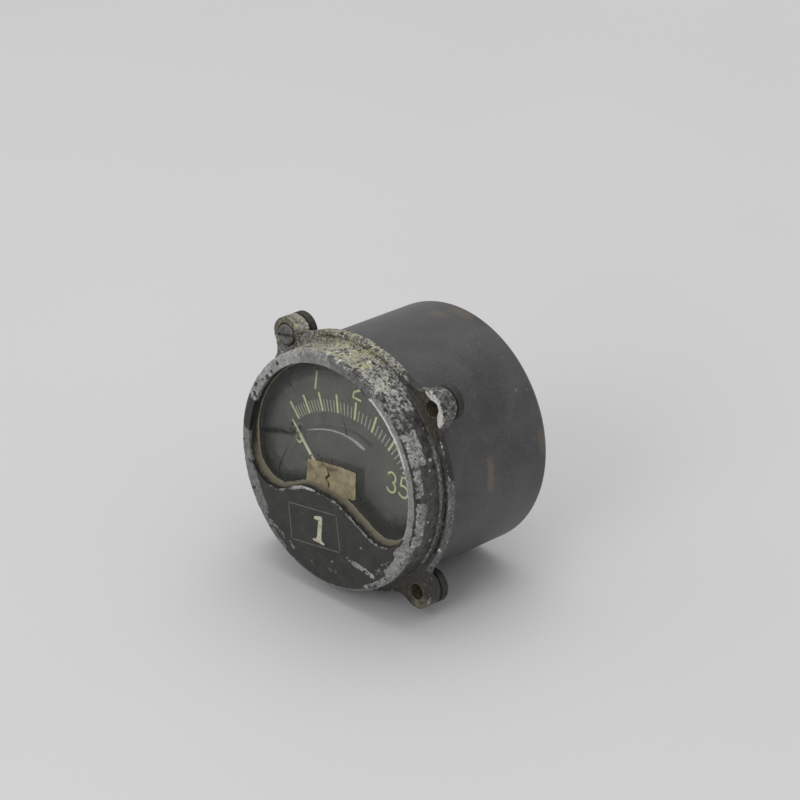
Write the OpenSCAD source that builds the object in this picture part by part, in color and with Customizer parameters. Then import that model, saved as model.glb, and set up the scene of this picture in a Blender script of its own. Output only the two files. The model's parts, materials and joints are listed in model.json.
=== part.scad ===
// Cylinder head temperature gauge of the panel-mounted moving-coil kind.
// Frame: +Z is up on the dial, -Y points out of the dial, and the origin is the centre of
// the panel hole in the plane of the mounting lugs' front faces.

/* [Bezel casting] */
// Outside radius of the bezel that fills the panel hole
bezel_r = 35; // [34:0.5:42]
// Height of the bezel in front of the mounting face
bezel_front = 9.5; // [9:0.5:13]
// Rounding of the bezel's front edge
bezel_edge = 1.6; // [0.5:0.1:1.9]
// Wall between the bezel's outside and its bore
bezel_wall = 2; // [1.8:0.1:2.6]
// Thickness of the mask plate around the window
mask_t = 3; // [2:0.5:4]
// Overlap of the mask on the rim of the glass
glass_seat = 1.6; // [1:0.1:3]
// Width of the flange outside the bezel
flange_out = 3; // [2.5:0.1:4]
// Thickness of the flange
flange_t = 2; // [1.6:0.2:3]
// Rounding of the flange's front edge
flange_edge = 1.1; // [0.4:0.1:1.4]
// Distance from the bezel to the groove in the flange's face
groove_in = 1; // [0.8:0.1:1.2]
// Width of the groove in the flange's face
groove_w = 0.8; // [0.4:0.1:1]
// Depth of the groove in the flange's face
groove_d = 0.9; // [0.3:0.1:1.2]
// Angle that each stretch of groove covers between two lugs
groove_angle = 50; // [30:1:54]
// Length of the spigot that enters the case
spigot_l = 5; // [4:0.5:7]

/* [Window] */
// Distance from the window's side to the middle of its lobe
lobe_in = 10.4; // [8:0.2:12]
// Height of the lobes' lowest points
lobe_bottom = -13.5; // [-16:0.5:-12.5]
// Height of the crest of the mask's hump
hump_top = -7.4; // [-8.5:0.1:-6.5]
// Slope of the hump's flanks
flank_tilt = 23.1; // [21:0.1:27]

/* [Mounting lugs] */
// Distance from the flange's edge to the lug's hole
lug_out = 2.26; // [2:0.1:4]
// Radius of the lug's round end
lug_end_r = 5; // [4:0.1:6]
// Thickness of the lug
lug_t = 4.5; // [3.5:0.1:6]
// Radius of the fillet between lug and flange
lug_fillet = 6; // [3:0.5:8]
// Radius of the lug's clearance hole
lug_hole_r = 2.35; // [2.1:0.05:2.6]
// Clearance of the recess round the left-over screw's head
recess_gap = 0.4; // [0.2:0.1:0.8]
// Depth of that recess
lug_recess_d = 1.4; // [0.8:0.1:2]
// Radius of the captive nut's disc
nut_r = 5.05; // [4.5:0.05:5.5]
// Thickness of the captive nut's disc
nut_t = 2.4; // [1.8:0.1:3]
// Radius of the nut's neck
nut_neck_r = 3.4; // [2.8:0.1:4]
// Length of the nut's neck
nut_neck_l = 0.6; // [0.3:0.1:1]
// Radius of the nut's tapped hole
nut_hole_r = 1.75; // [1.6:0.05:1.9]
// Radius of the left-over screw's head
screw_head_r = 3.1; // [2.5:0.1:3.8]

/* [Glass and dial] */
// Thickness of the cover glass
glass_t = 2; // [1.5:0.1:2.5]
// Thickness of the gasket behind the glass
gasket_t = 0.8; // [0.5:0.1:1]
// Width of the gasket and of the spring ring
ring_w = 1.5; // [1.2:0.1:2]
// Thickness of the spring ring that holds the glass
ring_t = 1.1; // [0.8:0.1:1.4]
// Depth of the spring ring's groove in the wall
ring_bite = 0.8; // [0.5:0.1:1]
// Thickness of the paper label on the glass
label_t = 0.12; // [0.1:0.01:0.2]
// Width and height of the paper label
label_size = [19, 8.2];
// Middle of the paper label, across and up
label_at = [-0.9, -2.6];
// Turn of the paper label on the glass
label_turn = 10; // [-20:1:20]
// Distance from the mounting face forward to the dial's face
dial_front = 0.1; // [0:0.1:0.8]
// Thickness of the dial plate
dial_t = 0.8; // [0.6:0.1:1]
// Radius of the opening in the dial round the pivot
dial_hole_r = 9.2; // [9:0.1:10]

/* [Movement] */
// Height of the pointer's pivot on the dial
pivot_z = -15.2; // [-16:0.1:-14]
// Distance from the dial's back to the movement plate
plate_gap = 4.3; // [4.3:0.1:6]
// Thickness of the movement plate
plate_t = 1.6; // [1.4:0.1:2]
// Rim of the movement plate's opening outside the pole pieces' bore
plate_rim = 1.2; // [1:0.1:1.4]
// Length of the pole pieces along the pivot
pole_l = 13; // [12:0.5:15]
// Iron behind the bore of each pole piece
pole_wall = 2.1; // [2:0.1:3]
// Half the width of the slit between the pole pieces
pole_slit = 2.5; // [2:0.1:3]
// Width of each magnet leg
magnet_leg = 6.5; // [5:0.1:7]
// Thickness of the magnet along the pivot
magnet_t = 12; // [10:0.5:12.5]
// Length of the magnet's legs below and above the pivot
magnet_legs = [6.8, 15.2];
// Radius of the soft-iron core
core_r = 6.6; // [6:0.1:8]
// Gap between the core's end and the pole pieces' end
core_inset = 1.6; // [1.4:0.1:2]
// Clearance of the coil from the core inside it and from the pole pieces outside it
coil_gap = 0.4; // [0.35:0.05:0.6]
// Thickness of the coil's sides
coil_t = 1; // [0.8:0.1:1.2]
// Width of the coil's sides
coil_w = 2.4; // [1.6:0.1:2.6]
// Radius of the pivot staffs
staff_r = 0.9; // [0.7:0.1:1]

/* [Pointer] */
// Angle of the resting pointer to the left of straight up
pointer_rest = 46.5; // [40:0.5:50]
// Length of the pointer from the pivot
pointer_l = 29.9; // [26:0.1:31]
// Greatest width of the pointer's lance
pointer_w = 0.9; // [0.6:0.1:1.2]
// Distance from the dial's face to the pointer
pointer_gap = 2; // [1.5:0.1:2.3]
// Whole swing of the pointer
pointer_swing = 93.5; // [80:0.5:94]

/* [Zero adjuster] */
// Distance from the pivot to the adjuster's spindle
zero_arm_l = 11.5; // [11:0.1:12.5]
// Throw of the eccentric pin
zero_throw = 1.2; // [0.8:0.1:1.3]
// Radius of the spindle
zero_spindle_r = 1.9; // [1.6:0.1:2]
// Running clearance of the spindle, the arm and the pivots
running_gap = 0.05; // [0.03:0.01:0.08]

/* [Case] */
// Outside radius of the case beyond the bezel's
case_step = 0.67; // [0.4:0.01:1]
// Distance from the mounting face to the back of the case
case_back = 42.4; // [38:0.1:51]
// Wall of the case
case_wall = 1.2; // [0.8:0.1:1.5]
// Rounding of the case's rear edge
case_edge = 2; // [1.3:0.1:3]
// Thickness of the gasket between flange and case
case_gasket_t = 0.5; // [0.3:0.1:0.8]
// Radius of the posts that carry the case screws
post_r = 2.6; // [2.2:0.1:3]
// Radius of the tapped holes in the posts
post_hole_r = 1.25; // [1:0.05:1.4]

/* [Terminals] */
// Distance of each terminal from the middle
terminal_x = 12.7; // [11:0.1:14]
// Height of the terminals above the zero adjuster
terminal_rise = 12.7; // [12.5:0.1:15]
// Radius of the positive terminal's stud
positive_r = 2.4; // [2:0.1:2.5]
// Radius of the negative terminal's stud
negative_r = 2; // [1.8:0.1:2.4]
// Length of each stud behind the case
stud_l = 13; // [12:0.5:16]
// Thickness of the insulating block
block_t = 3; // [2:0.5:4]
// Width and height of the insulating block
block_size = [44, 15];
// Distance across the flats of the terminal nuts
nut_flats = 8; // [7:0.5:9]
// Thickness of the terminal nuts
terminal_nut_t = 3.2; // [2.5:0.1:4]

/* [Hidden] */
$fn = 96;
// Cuts reach this far past the faces that they open
over = 0.5;
lug_angles = [45, 135, 225, 315];
screw_lug = 135;

// Places along the axis, from the front to the back
front_y = -bezel_front;
glass_y = front_y + mask_t;
gasket_y = glass_y + glass_t;
ring_y = gasket_y + gasket_t;
dial_y = -dial_front;
plate_y = dial_y + dial_t + plate_gap;
plate_back = plate_y + plate_t;
pole_back = plate_back + pole_l;
case_open = flange_t + case_gasket_t;
case_floor = case_back - case_wall;
spigot_back = flange_t + spigot_l;

// Radii of the shell
bore_r = bezel_r - bezel_wall;
window_r = bore_r - glass_seat;
flange_r = bezel_r + flange_out;
case_r = bezel_r + case_step;
case_bore_r = case_r - case_wall;
spigot_r = case_bore_r - 0.07;
lug_at = flange_r + lug_out;
lug_recess_r = screw_head_r + recess_gap;
fit_gap = 0.2;

// The iron round the coil, worked out from the core
coil_r = core_r + coil_gap + coil_t;
pole_bore_r = coil_r + coil_gap;
plate_hole_r = pole_bore_r + plate_rim;
pole_screw_at = [pole_bore_r + 0.2, pole_bore_r - 0.6];
pole_screw_r = 0.9;
pole_half_h = pole_screw_at[1] + pole_screw_r + 0.3;
magnet_in = pole_bore_r + pole_wall;

// The window's outline: a big arc, two lobes and the hump between them
lobe_x = window_r - lobe_in;
lobe_k = window_r + lobe_bottom;
lobe_z = (lobe_k * lobe_k - lobe_x * lobe_x) / (2 * lobe_k);
lobe_r = lobe_z - lobe_bottom;
flank_drop = hump_top - lobe_bottom;
flank_sum = (lobe_x * tan(flank_tilt) - flank_drop) * cos(flank_tilt) / (1 - cos(flank_tilt));
hump_r = flank_sum - lobe_r;
lobe_joint = atan2(lobe_z, lobe_x);

// Screws, posts and pillars behind the dial
boss_r = 3.2;
boss_at = bore_r - 2.6;
boss_y = dial_y + dial_t + 0.5;
bridge_half_w = 3.2;
// Two bosses stand above the terminals' straps and one beside the front bridge
boss_angles = [38, 142, 270 - asin((bridge_half_w + boss_r + 0.9) / boss_at)];
boss_hole_r = 1;
post_at = case_bore_r - 4.9;
post_angles = [90, 210, 330];
pillar_r = 2;
dial_screw_at = (bore_r - 5.4) * [cos(54.6), -sin(54.6)];
top_pillar_z = bore_r - 7;
bridge_t = 1.4;
front_bridge_y = dial_y + dial_t + 0.2;
front_post_z = pivot_z - plate_hole_r - 1.9;
rear_bridge_y = pole_back + 3.6;
front_jewel_r = 1.55;
rear_jewel_r = 2;
jewel_hole_r = 0.65;
tip_r = 0.12;

// The moving parts' places along the pivot
front_jewel_y = front_bridge_y + bridge_t + 0.9;
coil_front = plate_back - 0.2;
hub_y = plate_y - 1;
hub_t = 1;
front_spring_y = plate_y + 0.6;
rear_spring_y = pole_back + 0.6;
spring_h = 0.3;
rear_jewel_y = pole_back + 1.6;
arm_y = pole_back + 2.6;
arm_t = 0.7;
bimetal_y = pole_back + 1.4;
spindle_y = arm_y + arm_t + 0.3;
pointer_y = dial_y - pointer_gap;
pointer_t = 0.3;
stop_at = dial_hole_r + 1;
stop_r = 0.35;

// The terminals' stack, counted back from the case's floor
terminal_z = pivot_z + zero_arm_l + terminal_rise;
insulator_t = 2.4;
strap_t = 0.6;
strap_x = terminal_x + 9.3;
strap_half_w = 2;
stud_head_t = 1.6;
stud_head_r = 4.2;
insulator_y = case_floor - insulator_t;
strap_y = insulator_y - strap_t;
washer_t = 0.8;
stud_hole_r = 3.6;
block_back = case_back + block_t;
washer_y = block_back - 0.8;
free_step = 0.2;
free_y = washer_y + washer_t + terminal_nut_t + 0.4;
bush_hole_r = 2.6;
bush_y = case_floor - 3;
bobbin_r = 5;
bobbin_l = 11;
bobbin_at = case_bore_r - bobbin_r - 3;
bobbin_angle = 126;

function arc(centre, r, from, to, steps) = [
    for (i = [0 : steps]) let (a = from + (to - from) * i / steps) centre + r * [cos(a), sin(a)]
];

// The window's outline drawn in by a given distance
function window_outline(inset = 0) = concat(
    arc([0, 0], window_r - inset, lobe_joint, 180 - lobe_joint, 72),
    arc([-lobe_x, lobe_z], lobe_r - inset, 180 - lobe_joint, 270 + flank_tilt, 16),
    arc([0, hump_top - hump_r], hump_r + inset, 90 + flank_tilt, 90 - flank_tilt, 14),
    arc([lobe_x, lobe_z], lobe_r - inset, 270 - flank_tilt, 360 + lobe_joint, 16)
);

// A spiral band from one radius to another, starting at a given angle
function spiral_edge(from_r, to_r, start, turns, steps) = [
    for (i = [0 : steps])
        let (t = i / steps, r = from_r + (to_r - from_r) * t, a = start + 360 * turns * t)
        [r * cos(a), r * sin(a)]
];
function reversed(points) = [for (i = [len(points) - 1 : -1 : 0]) points[i]];

// Extrudes a front view, drawn as X across and Z up, between two depths
module slab(from_y, to_y) {
    translate([0, to_y, 0]) rotate([90, 0, 0]) linear_extrude(height = to_y - from_y) children();
}

// Turns a profile of [radius, depth] points about the gauge's axis
module turned(points) {
    rotate([-90, 0, 0]) rotate_extrude() polygon(points);
}

module rod(r, from_y, to_y) {
    translate([0, from_y, 0]) rotate([-90, 0, 0]) cylinder(r = r, h = to_y - from_y);
}

module cone(from_r, to_r, from_y, to_y) {
    translate([0, from_y, 0]) rotate([-90, 0, 0]) cylinder(r1 = from_r, r2 = to_r, h = to_y - from_y);
}

module ring(inner_r, outer_r, from_y, to_y) {
    difference() {
        rod(outer_r, from_y, to_y);
        rod(inner_r, from_y - over, to_y + over);
    }
}

// Moves its children out along a direction of the front view
module at_polar(radius, angle) {
    translate([radius * cos(angle), 0, radius * sin(angle)]) children();
}

module at_pivot() {
    translate([0, 0, pivot_z]) children();
}

// A cheese-head screw with its head's back at y = 0, its head towards +Y or -Y, and its slot
module slotted_screw(head_r, head_h, shank_r, shank_l, slot_turn = 0) {
    edge = head_h * 0.3;
    difference() {
        rotate([-90, 0, 0]) rotate_extrude() polygon(concat(
            [[0, -shank_l], [shank_r, -shank_l], [shank_r, 0], [head_r, 0]],
            arc([head_r - edge, head_h - edge], edge, 0, 90, 4),
            [[0, head_h]]
        ));
        rotate([0, slot_turn, 0]) translate([-head_r - over, head_h * 0.5, -head_r * 0.13])
            cube([2 * (head_r + over), head_h, head_r * 0.26]);
    }
}

// A lug drawn along +X: its round end and its web to the flange
module lug() {
    reach = flange_r + lug_fillet;
    tilt = acos((reach * reach + lug_at * lug_at - pow(lug_end_r + lug_fillet, 2)) / (2 * reach * lug_at));
    middle = reach * [cos(tilt), sin(tilt)];
    end_angle = atan2(middle[1], middle[0] - lug_at);
    upper = concat(
        [[case_r + 0.5, 0]],
        [(case_r + 0.9) * [cos(tilt), sin(tilt)]],
        arc(middle, lug_fillet, 180 + tilt, 180 + end_angle, 10),
        [[lug_at, 0]]
    );
    lower = [for (p = reversed(upper)) [p[0], -p[1]]];
    thin = [flange_r - 2, flange_t - 0.2];
    translate([lug_at, 0, 0]) rod(lug_end_r, 0, lug_t);
    intersection() {
        slab(0, lug_t) polygon(concat(upper, [for (i = [1 : len(lower) - 2]) lower[i]]));
        linear_extrude(height = 4 * lug_end_r + 4 * lug_fillet, center = true) polygon([
            [thin[0], 0], [lug_at + lug_end_r, 0], [lug_at + lug_end_r, lug_t],
            [lug_at - 0.4, lug_t], [flange_r, flange_t + 0.5], [thin[0], thin[1]]
        ]);
    }
}

module bezel_casting() {
    color("#3a3b3a") difference() {
        union() {
            turned(concat(
                [[0, front_y], [bezel_r - bezel_edge, front_y]],
                arc([bezel_r - bezel_edge, front_y + bezel_edge], bezel_edge, -90, 0, 8),
                [[bezel_r, 0]],
                arc([flange_r - flange_edge, flange_edge], flange_edge, -90, 0, 8),
                [[flange_r, flange_t], [spigot_r, flange_t], [spigot_r, spigot_back], [0, spigot_back]]
            ));
            for (a = lug_angles) rotate([0, -a, 0]) lug();
        }
        for (a = lug_angles) at_polar(lug_at, a) rod(lug_hole_r, -over, lug_t + over);
        at_polar(lug_at, screw_lug) rod(lug_recess_r, -over, lug_recess_d);
        // The rim of the case and its gasket pass inside the lugs
        ring(spigot_r + 0.03, case_r + fit_gap, flange_t, lug_t + over);
        slab(front_y - over, glass_y + over) polygon(window_outline());
        difference() {
            rod(bore_r, glass_y, spigot_back + over);
            for (a = boss_angles) at_polar(boss_at, a) difference() {
                rod(boss_r, boss_y, plate_y);
                rod(boss_hole_r, boss_y - over, plate_y + over);
            }
        }
        rod(bore_r + ring_bite, ring_y, ring_y + ring_t + 0.1);
        for (a = [0, 90, 180, 270]) rotate([0, -a, 0]) rotate([-90, 0, 0])
            rotate([0, 0, -groove_angle / 2]) rotate_extrude(angle = groove_angle)
                translate([bezel_r + groove_in, -over]) square([groove_w, groove_d + over]);
    }
}

module cover_glass() {
    color("#b9c4c0", 0.35) rod(bore_r - fit_gap, glass_y, gasket_y);
}

module glass_gasket() {
    color("#2b2926") ring(bore_r - ring_w, bore_r - 0.1, gasket_y, ring_y);
}

module glass_ring() {
    color("#8d8f90") difference() {
        ring(bore_r - ring_w, bore_r + ring_bite - 0.1, ring_y, ring_y + ring_t);
        // The gap by which the spring ring is squeezed
        translate([-2, ring_y - over, -bore_r - 2]) cube([4, ring_t + 2 * over, 6]);
    }
}

module paper_label() {
    color("#a59673") intersection() {
        translate([label_at[0], 0, label_at[1]]) rotate([0, -label_turn, 0])
            slab(glass_y - label_t, glass_y) square(label_size, center = true);
        slab(glass_y - 1, glass_y + 1) polygon(window_outline(0.3));
    }
}

module dial_plate() {
    color("#4a4b46") difference() {
        rod(bore_r - 2 * fit_gap, dial_y, dial_y + dial_t);
        at_pivot() rod(dial_hole_r, dial_y - over, dial_y + dial_t + over);
        for (side = [-1, 1]) translate([side * dial_screw_at[0], 0, dial_screw_at[1]])
            rod(0.9, dial_y - over, dial_y + dial_t + over);
    }
}

module dial_screws() {
    color("#8d8f90") for (side = [-1, 1])
        translate([side * dial_screw_at[0], dial_y, dial_screw_at[1]]) rotate([180, 0, 0])
            slotted_screw(1.8, 0.9, 0.75, 3.6, 35 * side);
}

module dial_pillars() {
    color("#b08d4a") {
        for (side = [-1, 1]) translate([side * dial_screw_at[0], 0, dial_screw_at[1]])
            ring(0.8, pillar_r, dial_y + dial_t, plate_y);
        translate([0, 0, top_pillar_z]) rod(pillar_r, dial_y + dial_t, plate_y);
    }
}

module pointer_stops() {
    slack = (pointer_w / 2 + stop_r + 0.06) / stop_at * 180 / PI;
    color("#b08d4a") at_pivot() for (a = [-pointer_rest - slack, pointer_swing - pointer_rest + slack])
        at_polar(stop_at, 90 - a) rod(stop_r, pointer_y - 0.9, dial_y);
}

module movement_plate() {
    color("#9b9a92") difference() {
        rod(bore_r - 2 * fit_gap, plate_y, plate_back);
        at_pivot() rod(plate_hole_r, plate_y - over, plate_back + over);
        for (a = boss_angles) at_polar(boss_at, a) rod(boss_hole_r, plate_y - over, plate_back + over);
        for (a = post_angles) at_polar(post_at, a) rod(1.5, plate_y - over, plate_back + over);
        at_polar(bobbin_at, bobbin_angle) rod(1.5, plate_y - over, plate_back + over);
        at_pivot() for (sx = [-1, 1], sz = [-1, 1])
            translate([sx * pole_screw_at[0], 0, sz * pole_screw_at[1]])
                rod(pole_screw_r, plate_y - over, plate_back + over);
        translate([0, 0, front_post_z]) rod(pole_screw_r, plate_y - over, plate_back + over);
    }
}

module movement_screws() {
    color("#8d8f90") for (a = boss_angles) at_polar(boss_at, a) translate([0, plate_back, 0])
        slotted_screw(2, 1.1, boss_hole_r - running_gap, plate_t + 3, a);
}

module magnet() {
    outer = magnet_in + magnet_leg;
    below = magnet_legs[0];
    above = magnet_legs[1];
    color("#55585c") at_pivot() difference() {
        union() {
            translate([-outer, plate_back, -below]) cube([2 * outer, magnet_t, below + above]);
            translate([0, 0, above]) rod(outer, plate_back, plate_back + magnet_t);
        }
        translate([-magnet_in, plate_back - over, -below - over])
            cube([2 * magnet_in, magnet_t + 2 * over, below + above + over]);
        translate([0, 0, above]) rod(magnet_in, plate_back - over, plate_back + magnet_t + over);
    }
}

module pole_piece(side) {
    width = magnet_in - pole_slit;
    color("#6b6a66") at_pivot() difference() {
        translate([side > 0 ? pole_slit : -magnet_in, plate_back, -pole_half_h])
            cube([width, pole_l, 2 * pole_half_h]);
        rod(pole_bore_r, plate_back - over, pole_back + over);
        for (sz = [-1, 1]) translate([side * pole_screw_at[0], 0, sz * pole_screw_at[1]])
            rod(pole_screw_r, plate_back - over, pole_back + over);
    }
}

module pole_piece_left() {
    pole_piece(-1);
}

module pole_piece_right() {
    pole_piece(1);
}

module magnet_screws() {
    color("#8d8f90") at_pivot() for (sx = [-1, 1], sz = [-1, 1])
        translate([sx * pole_screw_at[0], plate_y, sz * pole_screw_at[1]]) rotate([180, 0, 0])
            slotted_screw(1.8, 0.8, pole_screw_r - running_gap, 6.5, 20 * sx * sz);
}

module core() {
    color("#77756f") at_pivot() rod(core_r, plate_back + core_inset, pole_back - core_inset);
}

module core_spacers() {
    inset = core_inset + 0.6;
    color("#b08d4a") at_pivot() for (turn = [0, 180]) rotate([0, turn, 0]) difference() {
        translate([-pole_slit, plate_back + inset, core_r * 0.8])
            cube([2 * pole_slit, pole_l - 2 * inset, pole_half_h - core_r * 0.8]);
        rod(core_r, plate_back, pole_back);
    }
}

module front_bridge() {
    back = front_bridge_y + bridge_t;
    color("#b08d4a") difference() {
        union() {
            at_pivot() rod(bridge_half_w + 0.3, front_bridge_y, back);
            translate([0, 0, front_post_z]) rod(bridge_half_w, front_bridge_y, back);
            translate([-bridge_half_w, front_bridge_y, front_post_z])
                cube([2 * bridge_half_w, bridge_t, pivot_z - front_post_z]);
        }
        at_pivot() rod(front_jewel_r, front_bridge_y - over, back + over);
        translate([0, 0, front_post_z]) rod(pole_screw_r, front_bridge_y - over, back + over);
    }
}

module rear_bridge() {
    reach = norm(pole_screw_at);
    back = rear_bridge_y + bridge_t;
    color("#b08d4a") at_pivot() rotate([0, -atan2(pole_screw_at[1], pole_screw_at[0]), 0]) difference() {
        union() {
            for (side = [-1, 1]) translate([side * reach, 0, 0]) rod(bridge_half_w, rear_bridge_y, back);
            translate([-reach, rear_bridge_y, -bridge_half_w])
                cube([2 * reach, bridge_t, 2 * bridge_half_w]);
        }
        rod(rear_jewel_r, rear_bridge_y - over, back + over);
        for (side = [-1, 1]) translate([side * reach, 0, 0])
            rod(pole_screw_r, rear_bridge_y - over, back + over);
    }
}

module bridge_pillars() {
    color("#b08d4a") {
        translate([0, 0, front_post_z]) ring(pole_screw_r, 2.6, front_bridge_y + bridge_t, plate_y);
        at_pivot() for (side = [-1, 1])
            translate([side * pole_screw_at[0], 0, side * pole_screw_at[1]])
                ring(pole_screw_r, 1.9, pole_back, rear_bridge_y);
    }
}

module bridge_screws() {
    shank_r = pole_screw_r - running_gap;
    color("#8d8f90") {
        translate([0, plate_back, front_post_z])
            slotted_screw(1.8, 1, shank_r, plate_back - front_bridge_y - 0.3, 60);
        at_pivot() for (side = [-1, 1])
            translate([side * pole_screw_at[0], rear_bridge_y + bridge_t, side * pole_screw_at[1]])
                slotted_screw(1.8, 1, shank_r, bridge_t + rear_bridge_y - pole_back + 3, 25 * side);
    }
}

module front_jewel_screw() {
    start = front_bridge_y - 1.2;
    color("#c2a35a") at_pivot() difference() {
        rod(front_jewel_r, start, front_jewel_y);
        rod(jewel_hole_r, front_jewel_y - 0.8, front_jewel_y + over);
        translate([-2, start - over, -0.25]) cube([4, over + 0.5, 0.5]);
    }
}

module rear_jewel_screw() {
    end = rear_bridge_y + bridge_t + 2;
    color("#c2a35a") at_pivot() difference() {
        rod(rear_jewel_r, rear_jewel_y, end);
        rod(jewel_hole_r, rear_jewel_y - over, rear_jewel_y + 1);
        translate([-3, end - 0.6, -0.3]) cube([6, 1, 0.6]);
    }
}

// Turns its children with the resting pointer, which is drawn straight up
module at_rest_angle() {
    at_pivot() rotate([0, -pointer_rest, 0]) children();
}

module moving_coil() {
    length = pole_back - coil_front;
    color("#8a4b2a") at_rest_angle() rotate([0, 90, 0]) difference() {
        translate([-coil_w / 2, coil_front, -coil_r]) cube([coil_w, length, 2 * coil_r]);
        translate([-coil_w, coil_front + 1.2, -coil_r + coil_t])
            cube([2 * coil_w, length - 2.4, 2 * (coil_r - coil_t)]);
    }
}

module front_pivot() {
    color("#9ea1a3") at_pivot() {
        rod(staff_r, front_jewel_y + 0.4, coil_front);
        rod(0.45, front_jewel_y - 0.1, front_jewel_y + 0.4);
        cone(tip_r, 0.45, front_jewel_y - 0.75, front_jewel_y - 0.1);
    }
}

module rear_pivot() {
    color("#9ea1a3") at_pivot() {
        rod(staff_r, pole_back, rear_jewel_y - 0.3);
        rod(0.45, rear_jewel_y - 0.3, rear_jewel_y + 0.3);
        cone(0.45, tip_r, rear_jewel_y + 0.3, rear_jewel_y + 0.9);
    }
}

// A hub, a cranked arm that steps forward through the dial, and a tapered lance
module pointer() {
    step_from = 5;
    step_to = 8.4;
    half = pointer_w / 2;
    arm_back = hub_y + hub_t - 0.2;
    color("#cfc9a4") at_rest_angle() {
        ring(staff_r, 1.8, hub_y, hub_y + hub_t);
        rotate([90, 0, 90]) linear_extrude(height = pointer_w, center = true) polygon([
            [arm_back, 1.6], [arm_back, step_from], [pointer_y + pointer_t, step_to],
            [pointer_y + pointer_t, step_to + 1], [pointer_y, step_to + 1], [pointer_y, step_to - 0.2],
            [arm_back - 0.5, step_from - 0.2], [arm_back - 0.5, 1.6]
        ]);
        slab(pointer_y, pointer_y + pointer_t) polygon([
            [-half, step_to + 0.5], [-half, pointer_l - 5], [-0.12, pointer_l],
            [0.12, pointer_l], [half, pointer_l - 5], [half, step_to + 0.5]
        ]);
        // Tail and cross arms that carry the balance weights
        translate([-0.3, hub_y + 0.2, -7]) cube([0.6, 0.6, 5.4]);
        for (side = [0, 180]) rotate([0, side, 0]) translate([1.6, hub_y + 0.2, -0.3]) cube([4.4, 0.6, 0.6]);
    }
}

module balance_weights() {
    color("#b08d4a") at_rest_angle() for (turn = [[90, 5.4], [0, 4.4], [180, 4.4]]) rotate([0, turn[0], 0])
        translate([turn[1], hub_y + hub_t / 2, 0]) rotate([0, 90, 0]) difference() {
            cylinder(r = 0.8, h = 1.4);
            translate([-0.3, -0.3, -over]) cube([0.6, 0.6, 1.4 + 2 * over]);
        }
}

module flat_spiral(from_r, to_r, thick, start, turns, from_y, to_y) {
    inner = spiral_edge(from_r, to_r - thick, start, turns, 72);
    outer = spiral_edge(from_r + thick, to_r, start, turns, 72);
    at_pivot() slab(from_y, to_y) polygon(concat(outer, reversed(inner)));
}

module front_hairspring() {
    color("#a87f3c") flat_spiral(staff_r + 0.25, 5.5, 0.15, 0, 3.75, front_spring_y, front_spring_y + spring_h);
}

module rear_hairspring() {
    color("#a87f3c") flat_spiral(staff_r + 0.25, 5.5, 0.15, 0, 3.75, rear_spring_y, rear_spring_y + spring_h);
}

module spring_anchor() {
    color("#b08d4a") at_pivot() difference() {
        translate([-0.8, front_spring_y - 0.1, -plate_hole_r - 0.2]) cube([1.6, 0.5, plate_hole_r - 5.3]);
        difference() {
            rod(plate_hole_r + 3, front_spring_y - 1, front_spring_y + 1);
            rod(plate_hole_r, front_spring_y - 2, front_spring_y + 2);
        }
    }
}

module zero_arm() {
    tip = zero_arm_l + zero_throw + 1.2;
    color("#9b9a92") at_pivot() difference() {
        union() {
            rod(rear_jewel_r + 0.7, bimetal_y, arm_y + arm_t);
            rod(4, arm_y, arm_y + arm_t);
            translate([-2.2, arm_y, 0]) cube([4.4, arm_t, tip]);
        }
        rod(rear_jewel_r + running_gap, bimetal_y - over, arm_y + arm_t + over);
        translate([-0.75, arm_y - over, zero_arm_l - zero_throw - 1]) cube([1.5, arm_t + 2 * over, 6]);
    }
}

module bimetal_spiral() {
    color("#8f7a55") {
        flat_spiral(rear_jewel_r + 0.75, 6.4, 0.4, 0, 2.75, bimetal_y, arm_y - 0.1);
        // The end post that holds the hairspring's outer end
        at_pivot() translate([-0.4, rear_spring_y, -6.3]) cube([0.8, bimetal_y - rear_spring_y + 0.4, 0.8]);
    }
}

module zero_screw() {
    end = case_back + 1.2;
    collar = bush_y - 0.3;
    color("#8d8f90") at_pivot() translate([0, 0, zero_arm_l]) difference() {
        union() {
            rod(zero_spindle_r + 0.7, spindle_y, spindle_y + 1.8);
            rod(zero_spindle_r, spindle_y + 1.8, end);
            rod(zero_spindle_r + 0.5, collar - 1.5, collar);
            translate([0, 0, zero_throw]) rod(0.6, arm_y - 0.3, spindle_y + 0.5);
        }
        translate([-4, end - 0.8, -0.4]) cube([8, 2, 0.8]);
    }
}

module zero_bush() {
    color("#b08d4a") at_pivot() translate([0, 0, zero_arm_l]) difference() {
        union() {
            rod(bush_hole_r, bush_y, case_back);
            rod(bush_hole_r + 0.8, case_back, case_back + 0.6);
        }
        rod(zero_spindle_r + running_gap, bush_y - over, case_back + 2);
    }
}

module bush_nut() {
    color("#b08d4a") at_pivot() translate([0, 0, zero_arm_l]) difference() {
        translate([0, case_floor - 2.2, 0]) rotate([-90, 0, 0]) cylinder(r = 4.2, h = 2.2, $fn = 6);
        rod(bush_hole_r + running_gap, case_floor - 3, case_floor + 1);
    }
}

module resistor_bobbin() {
    flange = 0.8;
    end = plate_back + bobbin_l;
    color("#6b4a2c") at_polar(bobbin_at, bobbin_angle) {
        rod(1.5, plate_y, plate_back);
        rod(bobbin_r, plate_back, plate_back + flange);
        rod(2.4, plate_back + flange, end - flange);
        rod(bobbin_r, end - flange, end);
    }
}

module resistor_winding() {
    flange = 0.8;
    color("#7a3f22") at_polar(bobbin_at, bobbin_angle)
        ring(2.4, bobbin_r - 0.4, plate_back + flange, plate_back + bobbin_l - flange);
}

module case_gasket() {
    color("#2b2926") ring(case_bore_r, case_r, flange_t, case_open);
}

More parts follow.
